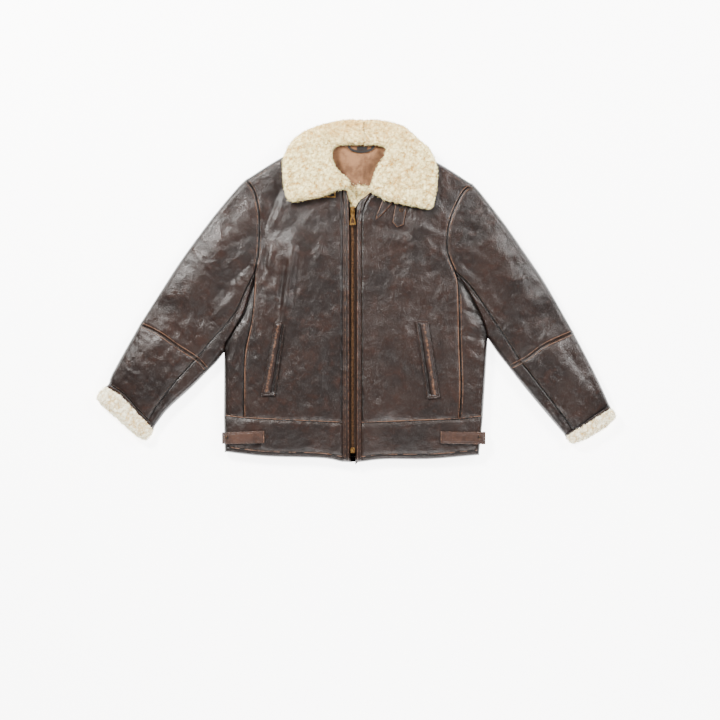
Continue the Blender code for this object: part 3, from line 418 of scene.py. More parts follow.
def near_ridges(table, points):
    """The same sum as ridges(), but each ridge only touches the points close to it."""
    flat = points.reshape(-1, 2)
    total = np.zeros(len(flat))
    for x0, y0, x1, y1, height, width in table:
        reach = 2.6 * width
        inside = ((flat[:, 0] > min(x0, x1) - reach) & (flat[:, 0] < max(x0, x1) + reach)
                  & (flat[:, 1] > min(y0, y1) - reach) & (flat[:, 1] < max(y0, y1) + reach))
        if inside.any():
            total[inside] += taper_ridge(flat[inside], x0, y0, x1, y1, height, width)
    return total.reshape(points.shape[:-1])


def taper_ridge(points, x0, y0, x1, y1, height, width):
    start = np.array([x0, y0], float)
    run = np.array([x1 - x0, y1 - y0], float)
    share = np.sum((points - start) * run, axis=-1) / np.sum(run * run)
    inside = np.clip(share, 0, 1)
    gap = np.linalg.norm(points - start - inside[:, None] * run, axis=-1)
    taper = 0.35 + 0.65 * np.sin(np.pi * inside)
    return height * taper * np.exp(-(gap / width) ** 2)


def creased(points):
    """Small relief of the worn hide on top of the solid's form."""
    relief = near_ridges(CREASES, points) + near_ridges(SMALL_CREASES, points)
    broad, small = value_noise(points, cell=26, seed=5), value_noise(points, cell=11, seed=6)
    return relief + 0.9 * broad + 0.45 * small


print("Creases by hand:", len(CREASES), "scattered:", len(SMALL_CREASES))

# %% [markdown]
# ## Skins
# Each leather piece becomes a thin skin on its solid's form. It could be a solid copied and subdivided,
# but a fresh grid between the four lines of its cut gives even faces that follow the seams. Every border
# has a manner: free edges roll down to the middle of the slab, a seam sinks a little where the
# stitches pull it in, and a border that is tucked or deep dips under the piece beside it.

# %% Grid between four lines
def meet(line, share, start, end):
    """Bend the ends of a line softly, so that it starts and ends exactly at two corners."""
    share = share[:, None]
    bend = 0.15                  # share of the line that gives way at each end
    by_start, by_end = np.clip(1 - share / bend, 0, 1), np.clip((share - 1 + bend) / bend, 0, 1)
    return line + by_start * (start - line[0]) + by_end * (end - line[-1])


def span_grid(first, last, top, bottom, step):
    """Even grid between four border lines, with rows running from the first line to the last one."""
    rows = int(max(lengths_along(first)[-1], lengths_along(last)[-1]) / step) + 2
    columns = int(max(lengths_along(top)[-1], lengths_along(bottom)[-1]) / step) + 2
    down, across = np.linspace(0, 1, rows), np.linspace(0, 1, columns)
    top, bottom = at_fractions(top, across), at_fractions(bottom, across)
    first = meet(at_fractions(first, down), down, top[0], bottom[0])
    last = meet(at_fractions(last, down), down, top[-1], bottom[-1])
    down, across = down[:, None, None], across[None, :, None]
    ruled = (1 - across) * first[:, None] + across * last[:, None]
    ruled = ruled + (1 - down) * top[None] + down * bottom[None]
    upper = (1 - across) * top[0] + across * top[-1]
    lower = (1 - across) * bottom[0] + across * bottom[-1]
    return ruled - (1 - down) * upper - down * lower


def border_distances(grid):
    """How far each point lies from the first, last, top and bottom border, along its row or column."""
    rows = np.concatenate([np.zeros((grid.shape[0], 1)),
                           np.cumsum(np.linalg.norm(np.diff(grid, axis=1), axis=2), axis=1)], axis=1)
    columns = np.concatenate([np.zeros((1, grid.shape[1])),
                              np.cumsum(np.linalg.norm(np.diff(grid, axis=0), axis=2), axis=0)], axis=0)
    return {"first": rows, "last": rows[:, -1:] - rows, "top": columns, "bottom": columns[-1:] - columns}


MANNERS = {          # what a border adds to the height, by the distance from it
    "free": lambda gap: np.zeros_like(gap),
    "seam": lambda gap: -1.5 * np.exp(-(gap / 5.0) ** 2) - 1.5 * np.exp(-gap / 18.0),
    "roll": lambda gap: -6.0 * (1 - round_off(gap, 11.0)),
    "tuck": lambda gap: -1.2 * np.exp(-(gap / 3.0) ** 2),
    "deep": lambda gap: -9.0 * np.exp(-(gap / 8.0) ** 2),
}
# How far the hide turns down at a border. None: down to the middle of the slab
SKIRT = {"free": None, "seam": 4.0, "roll": 9.0, "tuck": 3.0, "deep": None}


def with_skirt(points, borders, middle):
    """One more row of points below each border, so that no gap shows between two skins."""
    grid = points
    for name, axis, place in (("first", 1, 0), ("last", 1, -1), ("top", 0, 0), ("bottom", 0, -1)):
        edge = np.take(grid, [place], axis=axis).copy()
        drop = SKIRT[borders[name]]
        edge[..., 2] = middle if drop is None else np.maximum(edge[..., 2] - drop, middle)
        parts = [edge, grid] if place == 0 else [grid, edge]
        grid = np.concatenate(parts, axis=axis)
    return grid


CREASE_FADE = 16.0       # creases fade within this distance of the jacket's edge
THINNEST = 0.6


def top_skin(first, last, top, bottom, borders, step=2.8, extra=None):
    """Grid of 3-D points for the upper face of a piece."""
    grid = span_grid(first, last, top, bottom, step)
    edge = distance_to(OUTLINE, grid)
    height = front_top(grid)
    relief = creased(grid)
    for name, gap in border_distances(grid).items():
        relief = relief + MANNERS[borders[name]](gap)
    if extra is not None:
        relief = relief + extra(grid)
    height = np.maximum(height + relief * round_off(edge, CREASE_FADE), MIDDLE + THINNEST)
    return with_skirt(np.concatenate([grid, height[..., None]], axis=-1), borders, MIDDLE)


def ground_skin(first, last, top, bottom, borders, step=7.0):
    """Grid of 3-D points for the lower face of a piece, which lies on the floor."""
    grid = span_grid(first, last, top, bottom, step)
    edge = distance_to(OUTLINE, grid)
    height = (MIDDLE - LAYER_GAP - EDGE_LIP) * (1 - round_off(edge, EDGE_RADIUS))
    for name, gap in border_distances(grid).items():
        if borders[name] != "free":
            height = height + 1.6 * np.exp(-(gap / 5.0) ** 2)
    points = np.concatenate([grid, height[..., None]], axis=-1)
    return with_skirt(points, dict.fromkeys(borders, "free"), MIDDLE)


def add_values(mesh, **values):
    """Store numbers for each point, which the materials read."""
    for name, numbers in values.items():
        stored = mesh.attributes.new(name, "FLOAT", "POINT").data
        stored.foreach_set("value", np.asarray(numbers, np.float32))


def plain_mesh(name, points, quads):
    """A smooth object from points in metres and four-sided faces."""
    mesh = bpy.data.meshes.new(name)
    mesh.vertices.add(len(points))
    mesh.vertices.foreach_set("co", np.asarray(points, float).reshape(-1))
    mesh.loops.add(quads.size)
    mesh.loops.foreach_set("vertex_index", quads.reshape(-1).astype(np.int32))
    mesh.polygons.add(len(quads))
    mesh.polygons.foreach_set("loop_start", np.arange(0, quads.size, 4, dtype=np.int32))
    mesh.polygons.foreach_set("use_smooth", np.ones(len(quads), bool))
    mesh.update(calc_edges=True)
    made = bpy.data.objects.new(name, mesh)
    bpy.context.scene.collection.objects.link(made)
    return made


def skin_piece(name, grids):
    """One mesh from a few grids, each given as (points, facing up or down, wear and painted shade)."""
    points, faces, wear = [], [], []
    shift = 0
    for grid, up, worn in grids:
        rows, columns = grid.shape[:2]
        number = shift + np.arange(rows * columns).reshape(rows, columns)
        quads = np.stack([number[:-1, :-1], number[:-1, 1:], number[1:, 1:], number[1:, :-1]], axis=-1)
        quads = quads.reshape(-1, 4)
        middle = grid[rows // 2:rows // 2 + 2, columns // 2:columns // 2 + 2]
        turn = np.cross(middle[0, 1] - middle[0, 0], middle[1, 0] - middle[0, 0])[2]
        if (turn > 0) != up:
            quads = quads[:, ::-1]
        points.append(grid.reshape(-1, 3))
        faces.append(quads)
        wear.append(np.broadcast_to(worn, (rows, columns)).reshape(-1))
        shift += rows * columns
    made = plain_mesh(name, np.concatenate(points) * MM, np.concatenate(faces))
    add_values(made.data, wear=np.concatenate(wear))
    return made


def dress(piece, node, material, body="jacket"):
    """Put a piece on its body in place of its solid, with its finish."""
    piece.data.materials.append(material)
    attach(piece, body)
    if node:
        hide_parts(node)
    return piece


# %% [markdown]
# ## Leather
# Waxed sheepskin is not one colour: the dye sits deep in the grain and is rubbed off on every raised
# edge, where the hide shows tan. The material mottles two browns, cuts thin crinkle lines into them and
# reads how rubbed each place is from the skin itself. Where that value is below 0, it paints the hide
# near black as shade in seams, creases and slits, with some dirt in the seams.

# %% Short helpers for materials, and the leather
def linear(red, green, blue):
    """A shader colour from screen values between 0 and 255."""
    parts = [value / 255 for value in (red, green, blue)]
    light = [part / 12.92 if part <= 0.04045 else ((part + 0.055) / 1.055) ** 2.4 for part in parts]
    return (*light, 1.0)


class Recipe:
    """A procedural material, written step by step."""

    def __init__(self, name):
        self.material = bpy.data.materials.new(name)
        self.material.use_nodes = True
        self.tree = self.material.node_tree
        self.shader = self.tree.nodes["Principled BSDF"]
        self.place = self.add("ShaderNodeTexCoord").outputs["Object"]

    def add(self, kind, **settings):
        node = self.tree.nodes.new(kind)
        for name, value in settings.items():
            setattr(node, name, value)
        return node

    def feed(self, socket, value):
        if isinstance(value, bpy.types.NodeSocket):
            self.tree.links.new(value, socket)
        else:
            socket.default_value = value

    def set(self, **values):
        for name, value in values.items():
            self.feed(self.shader.inputs[name.replace("_", " ")], value)

    def stretched(self, scale, turn=0.0):
        node = self.add("ShaderNodeMapping")
        self.feed(node.inputs["Vector"], self.place)
        node.inputs["Scale"].default_value = scale
        node.inputs["Rotation"].default_value = (0, 0, math.radians(turn))
        return node.outputs["Vector"]

    def noise(self, scale, detail=2.0, rough=0.5, twist=0.0, place=None):
        node = self.add("ShaderNodeTexNoise")
        self.feed(node.inputs["Vector"], place or self.place)
        settings = {"Scale": scale, "Detail": detail, "Roughness": rough, "Distortion": twist}
        for name, value in settings.items():
            node.inputs[name].default_value = value
        return node.outputs["Fac"]

    def cells(self, scale, feature="DISTANCE_TO_EDGE"):
        node = self.add("ShaderNodeTexVoronoi", feature=feature)
        self.feed(node.inputs["Vector"], self.place)
        node.inputs["Scale"].default_value = scale
        return node.outputs["Distance"]

    def math(self, kind, first, second=0.0):
        node = self.add("ShaderNodeMath", operation=kind)
        self.feed(node.inputs[0], first)
        self.feed(node.inputs[1], second)
        return node.outputs[0]

    def band(self, value, low, high, start=0.0, end=1.0):
        node = self.add("ShaderNodeMapRange", interpolation_type="SMOOTHSTEP")
        self.feed(node.inputs["Value"], value)
        for name, number in (("From Min", low), ("From Max", high), ("To Min", start), ("To Max", end)):
            node.inputs[name].default_value = number
        return node.outputs["Result"]

    def mix(self, share, first, second):
        node = self.add("ShaderNodeMix", data_type="RGBA")
        for socket, value in ((node.inputs[0], share), (node.inputs[6], first), (node.inputs[7], second)):
            self.feed(socket, value)
        return node.outputs[2]

    def attribute(self, name):
        return self.add("ShaderNodeAttribute", attribute_name=name).outputs["Fac"]

    def bumps(self, *layers):
        """Relief from (height, depth in metres) pairs."""
        normal = None
        for height, depth in layers:
            node = self.add("ShaderNodeBump")
            node.inputs["Distance"].default_value = depth
            self.feed(node.inputs["Height"], height)
            if normal is not None:
                self.feed(node.inputs["Normal"], normal)
            normal = node.outputs["Normal"]
        self.feed(self.shader.inputs["Normal"], normal)


def crinkle_lines(recipe, scale, thin, place=None):
    """0 in a net of thin wandering lines, 1 between them."""
    wander = recipe.noise(scale, 3.0, 0.55, 0.7, place)
    off_middle = recipe.math("ABSOLUTE", recipe.math("SUBTRACT", wander, 0.5))
    return recipe.band(off_middle, 0.0, thin)


SHINE = (0.31, 0.42)     # roughness of waxed and of dry hide


def leather(name, dark, middle, light, rubbed):
    """Mottled hide: crinkled, dark where the value is below 0, and rubbed pale where it is high.
    The dark is painted shade in seams, creases, slits and at edges, with some dirt in the seams.
    """
    recipe = Recipe(name)
    long_way = recipe.stretched((1.0, 0.45, 1.0), 8)
    clouds = recipe.noise(11, 4.0, 0.62)
    mottle = recipe.noise(42, 4.0, 0.68, 0.4)
    coarse = crinkle_lines(recipe, 34, 0.035, long_way)
    fine = crinkle_lines(recipe, 95, 0.06)
    pebbles = recipe.band(recipe.cells(330), 0.0, 0.35)
    colour = recipe.mix(recipe.band(clouds, 0.36, 0.66), dark, middle)
    colour = recipe.mix(recipe.math("MULTIPLY", recipe.band(mottle, 0.48, 0.74), 0.55), colour, light)
    between = recipe.math("MULTIPLY", coarse, recipe.band(fine, 0, 1, 0.6, 1.0))
    patch = recipe.band(recipe.noise(17, 2.0, 0.5), 0.42, 0.6)
    in_line = recipe.math("MULTIPLY", recipe.math("SUBTRACT", 1.0, between), patch)
    colour = recipe.mix(recipe.math("MULTIPLY", in_line, 0.35), colour, dark)
    broken = recipe.math("MULTIPLY", recipe.math("SUBTRACT", recipe.noise(170, 4.0, 0.7), 0.5), 1.5)
    wear = recipe.attribute("wear")
    worn = recipe.band(recipe.math("ADD", wear, broken), 0.35, 0.95)
    colour = recipe.mix(worn, colour, rubbed)
    # Below 0 the value paints near-black shade, with some dirt in the seams.
    dirt = recipe.math("ADD", wear, recipe.math("MULTIPLY", broken, 0.4))
    colour = recipe.mix(recipe.band(dirt, -0.75, -0.1, 0.85, 0.0), colour, linear(9, 6, 5))
    recipe.set(Base_Color=colour, Roughness=recipe.band(mottle, 0.3, 0.7, SHINE[1], SHINE[0]))
    recipe.shader.inputs["IOR"].default_value = 1.5
    recipe.shader.inputs["Specular IOR Level"].default_value = 0.3
    creased_here = recipe.math("SUBTRACT", 1.0, in_line)
    recipe.bumps((mottle, 0.0010), (pebbles, 0.00016), (creased_here, 0.00018), (fine, 0.00006))
    return recipe.material


BROWN = dict(dark=linear(18, 11, 9), middle=linear(30, 19, 15), light=linear(46, 31, 26),
             rubbed=linear(98, 70, 54))
hide = leather("brown_hide", **BROWN)
tab_hide = leather("red_brown_hide", linear(38, 25, 20), linear(58, 40, 33), linear(76, 55, 45),
                   linear(138, 104, 84))
print("Leathers made:", hide.name, tab_hide.name)

# %% [markdown]
# ## Fronts, side panels and back
# The fronts are cut wide and meet the side panels in a seam that the photograph shows well inside the
# edge. Each side panel comes round from the back, so it gets an upper and a lower skin. The back lies on
# the floor under everything: only its lower face and its rolled edge are made.

# %% Skins of the body
def near_lines(points, lines, reach):
    """1 on any of the lines, fading over the reach."""
    flat = points[..., :2]
    gap = np.min([distance_to(np.asarray(line, float), flat) for line in lines], axis=0)
    return np.exp(-(gap / reach) ** 2)


def grime_and_painted_shade(grid, lines, most=0.9, reach=4.5):
    """Below 0: dirt and painted shade in seams, painted shade in crease troughs and at the rolled edge."""
    relief = creased(grid[..., :2])
    at_edge = np.exp(-(distance_to(OUTLINE, grid[..., :2]) / 6.0) ** 2)
    return 0.14 * np.clip(relief, -4, 0) - most * near_lines(grid, lines, reach) - 0.9 * at_edge


def ends_of(first, last):
    return np.array([first, last], float)


def body_line(side):
    return np.vstack([LINES[side]["armhole"], LINES[side]["side_seam"][1:]])


def make_front(side):
    line = LINES[side]
    inner = np.vstack([line["neckline"], line["placket_outer"][1:]])
    borders = {"first": "seam", "last": "tuck", "top": "free", "bottom": "seam"}
    grid = top_skin(body_line(side), inner, line["shoulder"][::-1], line["hem_seam"][1:], borders)
    wear = 0.4 * near_lines(grid, [line["shoulder"]], 4)
    wear = wear + grime_and_painted_shade(grid, [line["side_seam"], line["armhole"], line["hem_seam"], line["placket_outer"]])
    piece = skin_piece("skin_front_" + side, [(grid, True, wear)])
    dress(piece, "front_" + side, hide)


def make_side_panel(side):
    line = LINES[side]
    outer = np.vstack([line["underarm"], line["side_edge"][1:]])
    start = ends_of(line["side_seam"][0], line["side_seam"][0])

    def dip(points):
        return -7.0 * near_lines(points, [line["underarm"]], 13)

    borders = {"first": "free", "last": "seam", "top": "free", "bottom": "seam"}
    grid = top_skin(outer, line["side_seam"], start, line["hem_seam"][:2], borders, extra=dip)
    low = ground_skin(outer, line["side_seam"], start, line["hem_seam"][:2], borders)
    wear = grime_and_painted_shade(grid, [line["side_seam"], line["hem_seam"]])
    # Painted shade along the underarm, where the sleeve lies over the side panel.
    wear = wear - 0.9 * near_lines(grid, [line["underarm"]], 12)
    piece = skin_piece("skin_side_panel_" + side, [(grid, True, wear), (low, False, 0.0)])
    dress(piece, "side_panel_" + side, hide)


def make_back():
    right, left = LINES["right"], LINES["left"]
    top = np.vstack([right["shoulder"][::-1], np.array(NECK_BACK[1:-1], float), left["shoulder"]])
    foot = np.vstack([right["hem_seam"][1:], left["hem_seam"][1:][::-1]])
    borders = {"first": "seam", "last": "seam", "top": "free", "bottom": "seam"}
    low = ground_skin(body_line("right"), body_line("left"), top, foot, borders)
    piece = skin_piece("skin_back", [(low, False, 0.0)])
    dress(piece, "back_panel", hide)


make_back()
for side in SIDES:
    make_front(side)
    make_side_panel(side)

# %% [markdown]
# ## Hem band, bound edge and zip strips
# A straight band finishes the hem, and its lower edge is bound with a narrow folded strip. The zip is
# faced by a strip of leather on each front, stitched flat, so the strips stand a little higher.

# %% Skins of the hem and of the zip strips
def make_hem(side):
    line = LINES[side]
    for node, upper, lower, foot in (("hem_band_", "hem_seam", "hem_top", "seam"),
                                     ("hem_binding_", "hem_top", "hem_edge", "free")):
        borders = {"first": "free", "last": "tuck", "top": "seam", "bottom": foot}
        grid = top_skin(ends_of(line[upper][0], line[lower][0]), ends_of(line[upper][-1], line[lower][-1]),
                        line[upper], line[lower], borders, step=2.0)
        wear = 0.35 * near_lines(grid, [line["hem_edge"]], 3)
        wear = wear + grime_and_painted_shade(grid, [line["hem_seam"], line["hem_top"]], 0.7, 3.5)
        piece = skin_piece("skin_" + node + side, [(grid, True, wear)])
        dress(piece, node + side, hide)


def make_back_hem():
    right, left = LINES["right"], LINES["left"]
    for node, upper, lower in (("hem_band_back", "hem_seam", "hem_top"),
                               ("hem_binding_back", "hem_top", "hem_edge")):
        top = np.vstack([right[upper], left[upper][::-1]])
        foot = np.vstack([right[lower], left[lower][::-1]])
        first, last = ends_of(right[upper][0], right[lower][0]), ends_of(left[upper][0], left[lower][0])
        borders = dict.fromkeys(("first", "last", "top", "bottom"), "free")
        low = ground_skin(first, last, top, foot, borders, step=4.0)
        piece = skin_piece("skin_" + node, [(low, False, 0.0)])
        dress(piece, node, hide)


STRIP_RIDGES = {"right": (-24.0, -17.0), "left": (3.6, 9.0)}
PLACKET_RISE = 1.5


def strip_relief(side):
    """The zip strip stands above the front and has two rubbed ridges between rows of stitches."""
    def relief(points):
        bend = np.interp(points[..., 1], (150, 190, 226), (0.0, 1.0, 3.4)) * (8 if side == "left" else -1.2)
        total = np.full(points.shape[:-1], PLACKET_RISE)
        for x in STRIP_RIDGES[side]:
            gap = points[..., 0] - x - bend
            total = total + 1.2 * np.exp(-(gap / 1.7) ** 2)
            total = total - 0.7 * np.exp(-((np.abs(gap) - 3.4) / 1.3) ** 2)
        return total
    return relief


def make_strip(side):
    line = LINES[side]
    outer = np.vstack([line["placket_outer"], line["hem_edge"][-1:]])
    inner = line["placket_inner"]
    relief = strip_relief(side)
    borders = {"first": "tuck", "last": "roll", "top": "seam", "bottom": "free"}
    grid = top_skin(outer, inner, ends_of(outer[0], inner[0]), ends_of(outer[-1], inner[-1]), borders,
                    step=1.5, extra=relief)
    wear = 0.62 * smooth_step(1.9, 2.6, relief(grid[..., :2])) - 0.8 * near_lines(grid, [outer], 2.0)
    wear = wear - 0.7 * smooth_step(1.4, 1.0, relief(grid[..., :2]))
    piece = skin_piece("skin_placket_" + side, [(grid, True, np.clip(wear, 0, 1))])
    dress(piece, "placket_" + side, hide)


make_back_hem()
for side in SIDES:
    make_hem(side)
    make_strip(side)

# %% [markdown]
# ## Sleeves
# Each sleeve is a tube of two hides, top and under, crossed by a seam at the elbow. Laid flat, the under
# hide comes round the inner edge and shows as a strip, and the cut end is bound with a narrow roll.

# %% Skins of the sleeves
def split_at(line, x):
    """The two parts of a line on either side of the point nearest to an X."""
    place = int(np.argmin(np.abs(line[:, 0] - x)))
    return line[:place + 1], line[place:]


def make_sleeve_part(side, part, start_top, start_strip):
    line = LINES[side]
    outer, seam, inner = line["outer_" + part], line["under_" + part], line["inner_" + part]
    end_top, end_strip = split_at(line["elbow" if part == "upper" else "sleeve_end"], seam[-1, 0])
    borders = {"first": "free", "last": "seam", "top": "seam", "bottom": "seam"}
    grid = top_skin(outer, seam, start_top, end_top, borders)
    wear = 0.35 * near_lines(grid, [outer], 4)
    wear = wear + grime_and_painted_shade(grid, [line["elbow"], line["armhole"], seam, line["sleeve_end"]])
    piece = skin_piece("skin_sleeve_top_%s_%s" % (part, side), [(grid, True, wear)])
    dress(piece, "sleeve_top_%s_%s" % (part, side), hide)
    under_name = "skin_sleeve_under_%s_%s" % (part, side)

    top = "roll" if part == "upper" else "seam"
    borders = {"first": "seam", "last": "free", "top": top, "bottom": "seam"}
    strip = top_skin(seam, inner, start_strip, end_strip, borders)
    low_top = ground_skin(outer, seam, start_top, end_top, borders)
    low_strip = ground_skin(seam, inner, start_strip, end_strip, borders)
    wear = 0.3 * near_lines(strip, [inner], 4) + grime_and_painted_shade(strip, [seam, line["elbow"]])
    piece = skin_piece(under_name, [(strip, True, wear), (low_top, False, 0.0), (low_strip, False, 0.0)])
    dress(piece, "sleeve_under_%s_%s" % (part, side), hide)
    return end_top, end_strip


BINDING_ROLL = 9.0       # how far the binding runs in under the wool of the cuff


def make_cuff_binding(side):
    line = LINES[side]
    start = line["sleeve_end"]
    shares = (lengths_along(start) / lengths_along(start)[-1])[:, None]
    outer_shift, inner_shift = line["cuff_outer"][0] - start[0], line["cuff_inner"][0] - start[-1]
    joint = start + (1 - shares) * outer_shift + shares * inner_shift
    way = line["cuff_outer"][-1] - line["cuff_outer"][0]
    reach = joint + BINDING_ROLL * way / np.linalg.norm(way) * (0.6 + 0.4 * np.sin(np.pi * shares))
    borders = {"first": "free", "last": "free", "top": "seam", "bottom": "deep"}
    places = (ends_of(start[0], reach[0]), ends_of(start[-1], reach[-1]), start, reach)
    grid = top_skin(*places, borders, step=1.8, extra=lambda points: np.full(points.shape[:-1], 1.2))
    low = ground_skin(*places, borders, step=4.0)
    wear = 0.55 * near_lines(grid, [0.5 * (start + joint)], 3.0)
    # Painted shade along both edges of the binding: at the sleeve's seam and where it runs in under the
    # wool.
    wear = wear - 0.8 * near_lines(grid, [start, reach], 3.0)
    piece = skin_piece("skin_cuff_binding_" + side, [(grid, True, wear), (low, False, 0.0)])
    dress(piece, "cuff_binding_" + side, hide)


for side, line in LINES.items():
    elbow_top, elbow_strip = make_sleeve_part(side, "upper", line["armhole"], line["underarm"])
    make_sleeve_part(side, "fore", elbow_top, elbow_strip)
    make_cuff_binding(side)

# %% [markdown]
# ## Wool of the collar and cuffs
# The pile is real sheep's wool: short crimped locks that clump together, cream at their tips and tan
# down between them, where the tan is darkened further as painted shade. A smooth block would never
# read as wool, so each solid is meshed again with even small faces, pushed out into lumps, and planted
# with curled locks. The outside of the collar is hide, so the lower face of each leaf stays smooth
# and brown.

# %% Wool material and the lumps
from mathutils import noise as field


def wool(name, tip, root, stain):
    recipe = Recipe(name)
    speck = recipe.noise(300, 3.0, 0.7)
    patches = recipe.noise(13, 3.0, 0.6)
    depth = recipe.math("ADD", recipe.attribute("depth"), recipe.math("MULTIPLY", speck, 0.5))
    # The root colour, used where the depth value is low, is the wool's own tan and also painted shade deep
    # among the lumps and locks.
    colour = recipe.mix(recipe.band(depth, 0.42, 1.02), root, tip)
    axes = recipe.add("ShaderNodeSeparateXYZ")
    recipe.feed(axes.inputs[0], recipe.place)
    behind_neck = recipe.band(axes.outputs["Y"], 0.30, 0.37)
    neck_share = recipe.math("MULTIPLY", behind_neck, 0.6)
    stained = recipe.math("ADD", recipe.band(patches, 0.5, 0.7, 0.0, 0.4), neck_share)
    colour = recipe.mix(recipe.math("MULTIPLY", stained, 0.8), colour, stain)
    colour = recipe.mix(recipe.attribute("hide"), colour, BROWN["middle"])
    recipe.set(Base_Color=colour, Roughness=0.92)
    for name, value in (("Sheen Weight", 0.06), ("Sheen Roughness", 0.5), ("Specular IOR Level", 0.2)):
        recipe.shader.inputs[name].default_value = value
    recipe.bumps((speck, 0.0012), (recipe.cells(260, feature="F1"), 0.001))
    return recipe.material


# The second colour of each wool is the tan of its roots, darkened as painted shade between the locks.
fleece = wool("cream_wool", linear(255, 244, 186), linear(160, 120, 54), linear(200, 160, 90))
white_fleece = wool("cuff_wool", linear(255, 252, 226), linear(186, 154, 96), linear(226, 196, 140))


def even_copy(node, name, voxel):
    """A copy of a solid with small even faces and soft edges."""
    source = frame["nodes"][node]
    mesh = source.data.copy()
    mesh.transform(source.matrix_world)
    made = bpy.data.objects.new(name, mesh)
    bpy.context.scene.collection.objects.link(made)
    even = made.modifiers.new("even", "REMESH")
    even.mode, even.voxel_size, even.use_smooth_shade = "VOXEL", voxel, True
    soft = made.modifiers.new("soft", "SMOOTH")
    soft.factor, soft.iterations = 0.5, 8
    made.data = bpy.data.meshes.new_from_object(made.evaluated_get(bpy.context.evaluated_depsgraph_get()))
    made.modifiers.clear()
    made.data.materials.clear()
    made.data.name = name
    return made


def read_points(mesh):
    points, normals = np.empty(len(mesh.vertices) * 3), np.empty(len(mesh.vertices) * 3)
    mesh.vertices.foreach_get("co", points)
    mesh.vertices.foreach_get("normal", normals)
    return points.reshape(-1, 3), normals.reshape(-1, 3)


def lump(place, cell):
    """1 in the middle of a lump, 0 between lumps."""
    spot = Vector(place) / (cell * MM)
    spot += 0.45 * field.noise_vector(spot * 0.7)
    return 1 - min(1.0, field.voronoi(spot)[0][0] / 0.8)


FLOOR_CLEAR = 0.0003     # metres that the pile stays above the floor


def make_lumps(made, high, hide_below):
    """Push the pile out into large and small lumps. Faces that look down stay smooth."""
    mesh = made.data
    points, normals = read_points(mesh)
    big = np.array([lump(place, 8.0) for place in points])
    small = np.array([lump(place, 3.4) for place in points])
    up = smooth_step(hide_below, hide_below + 0.35, normals[:, 2])
    shape = 0.62 * big + 0.38 * small
    points = points + normals * (high * (shape - 0.42) * up)[:, None] * MM
    points[:, 2] = np.maximum(points[:, 2], FLOOR_CLEAR)
    mesh.vertices.foreach_set("co", points.reshape(-1))
    bare = 1 - smooth_step(hide_below - 0.2, hide_below, normals[:, 2])
    # The depth value is low between the lumps, where the wool material paints shade.
    add_values(mesh, depth=0.15 + 0.85 * shape, hide=bare)
    mesh.update()


# %% [markdown]
# ## Curled locks
# A lock starts at a random place on the pile. It winds round its own direction and gets thinner towards
# its tip. Its colour pales towards the tip: partly the wool's own tone, partly painted shade near the root.

# %% Curled locks
LOCK_SIDES, LOCK_RINGS = 3, 5


def make_locks(name, base, count, seed, length=(4.5, 8.0), thick=0.75, lean=(0, 0, 0), lowest=-0.1):
    """Curled locks planted on a pile: three-sided tapering tubes, each wound round its own direction."""
    dice = np.random.default_rng(seed)
    mesh = base.data
    mesh.calc_loop_triangles()
    corners = np.empty(len(mesh.loop_triangles) * 3, int)
    mesh.loop_triangles.foreach_get("vertices", corners)
    corners = corners.reshape(-1, 3)
    points, normals = read_points(mesh)
    middles = np.round(points[corners].mean(axis=1), 6)
    corners = corners[np.lexsort(middles.T)]     # the remesh may number its faces otherwise each time
    a, b, c = (points[corners[:, step]] for step in range(3))
    size = np.linalg.norm(np.cross(b - a, c - a), axis=1) * (normals[corners[:, 0], 2] > lowest)
    chosen = dice.choice(len(corners), count, p=size / size.sum())
    share = dice.dirichlet((1, 1, 1), count)
    root = a[chosen] * share[:, :1] + b[chosen] * share[:, 1:2] + c[chosen] * share[:, 2:]
    normal = normals[corners[chosen, 0]]
    way = normal + np.asarray(lean, float) + dice.normal(0, 0.55, (count, 3))
    way /= np.linalg.norm(way, axis=1, keepdims=True)
    aside = np.cross(way, dice.normal(0, 1, (count, 3)))
    aside /= np.linalg.norm(aside, axis=1, keepdims=True)
    third = np.cross(way, aside)
    reach = dice.uniform(*length, count)[:, None] * MM
    turns = dice.uniform(2.6, 5.6, count)[:, None] * dice.choice([-1, 1], count)[:, None]
    start = dice.uniform(0, 6.28, count)[:, None]
    rings, depth = [], []
    for along in np.linspace(0, 1, LOCK_RINGS):
        wound = 0.26 * reach * np.sqrt(along)
        centre = root - 0.8 * MM * normal + way * reach * 0.62 * along
        swing = start + turns * along
        centre = centre + wound * (np.cos(swing) * aside + np.sin(swing) * third)
        for corner in range(LOCK_SIDES):
            angle = 2.1 * corner + start
            spread = thick * MM * (1 - 0.72 * along)
            rings.append(centre + spread * (np.cos(angle) * aside + np.sin(angle) * third))
            # The depth value rises from root to tip; at the low end the wool material paints shade.
            depth.append(0.25 + 0.75 * along ** 0.6 + dice.normal(0, 0.12, count))
    points = np.stack(rings, axis=1).reshape(-1, 3)
    points[:, 2] = np.maximum(points[:, 2], FLOOR_CLEAR)
    first = np.arange(count)[:, None] * (LOCK_SIDES * LOCK_RINGS)
    faces = []
    for row in range(0, LOCK_SIDES * (LOCK_RINGS - 1), LOCK_SIDES):
        for corner in range(LOCK_SIDES):
            here, after = row + corner, row + (corner + 1) % LOCK_SIDES
            faces.append(first + np.array([[here, after, after + LOCK_SIDES, here + LOCK_SIDES]]))
    made = plain_mesh(name, points, np.concatenate(faces))
    depth = np.clip(np.stack(depth, axis=1).reshape(-1), 0, 1.2)
    add_values(made.data, depth=depth, hide=np.zeros(len(points)))
    return made


def triangles(*made):
    return sum(len(face.vertices) - 2 for item in made for face in item.data.polygons)


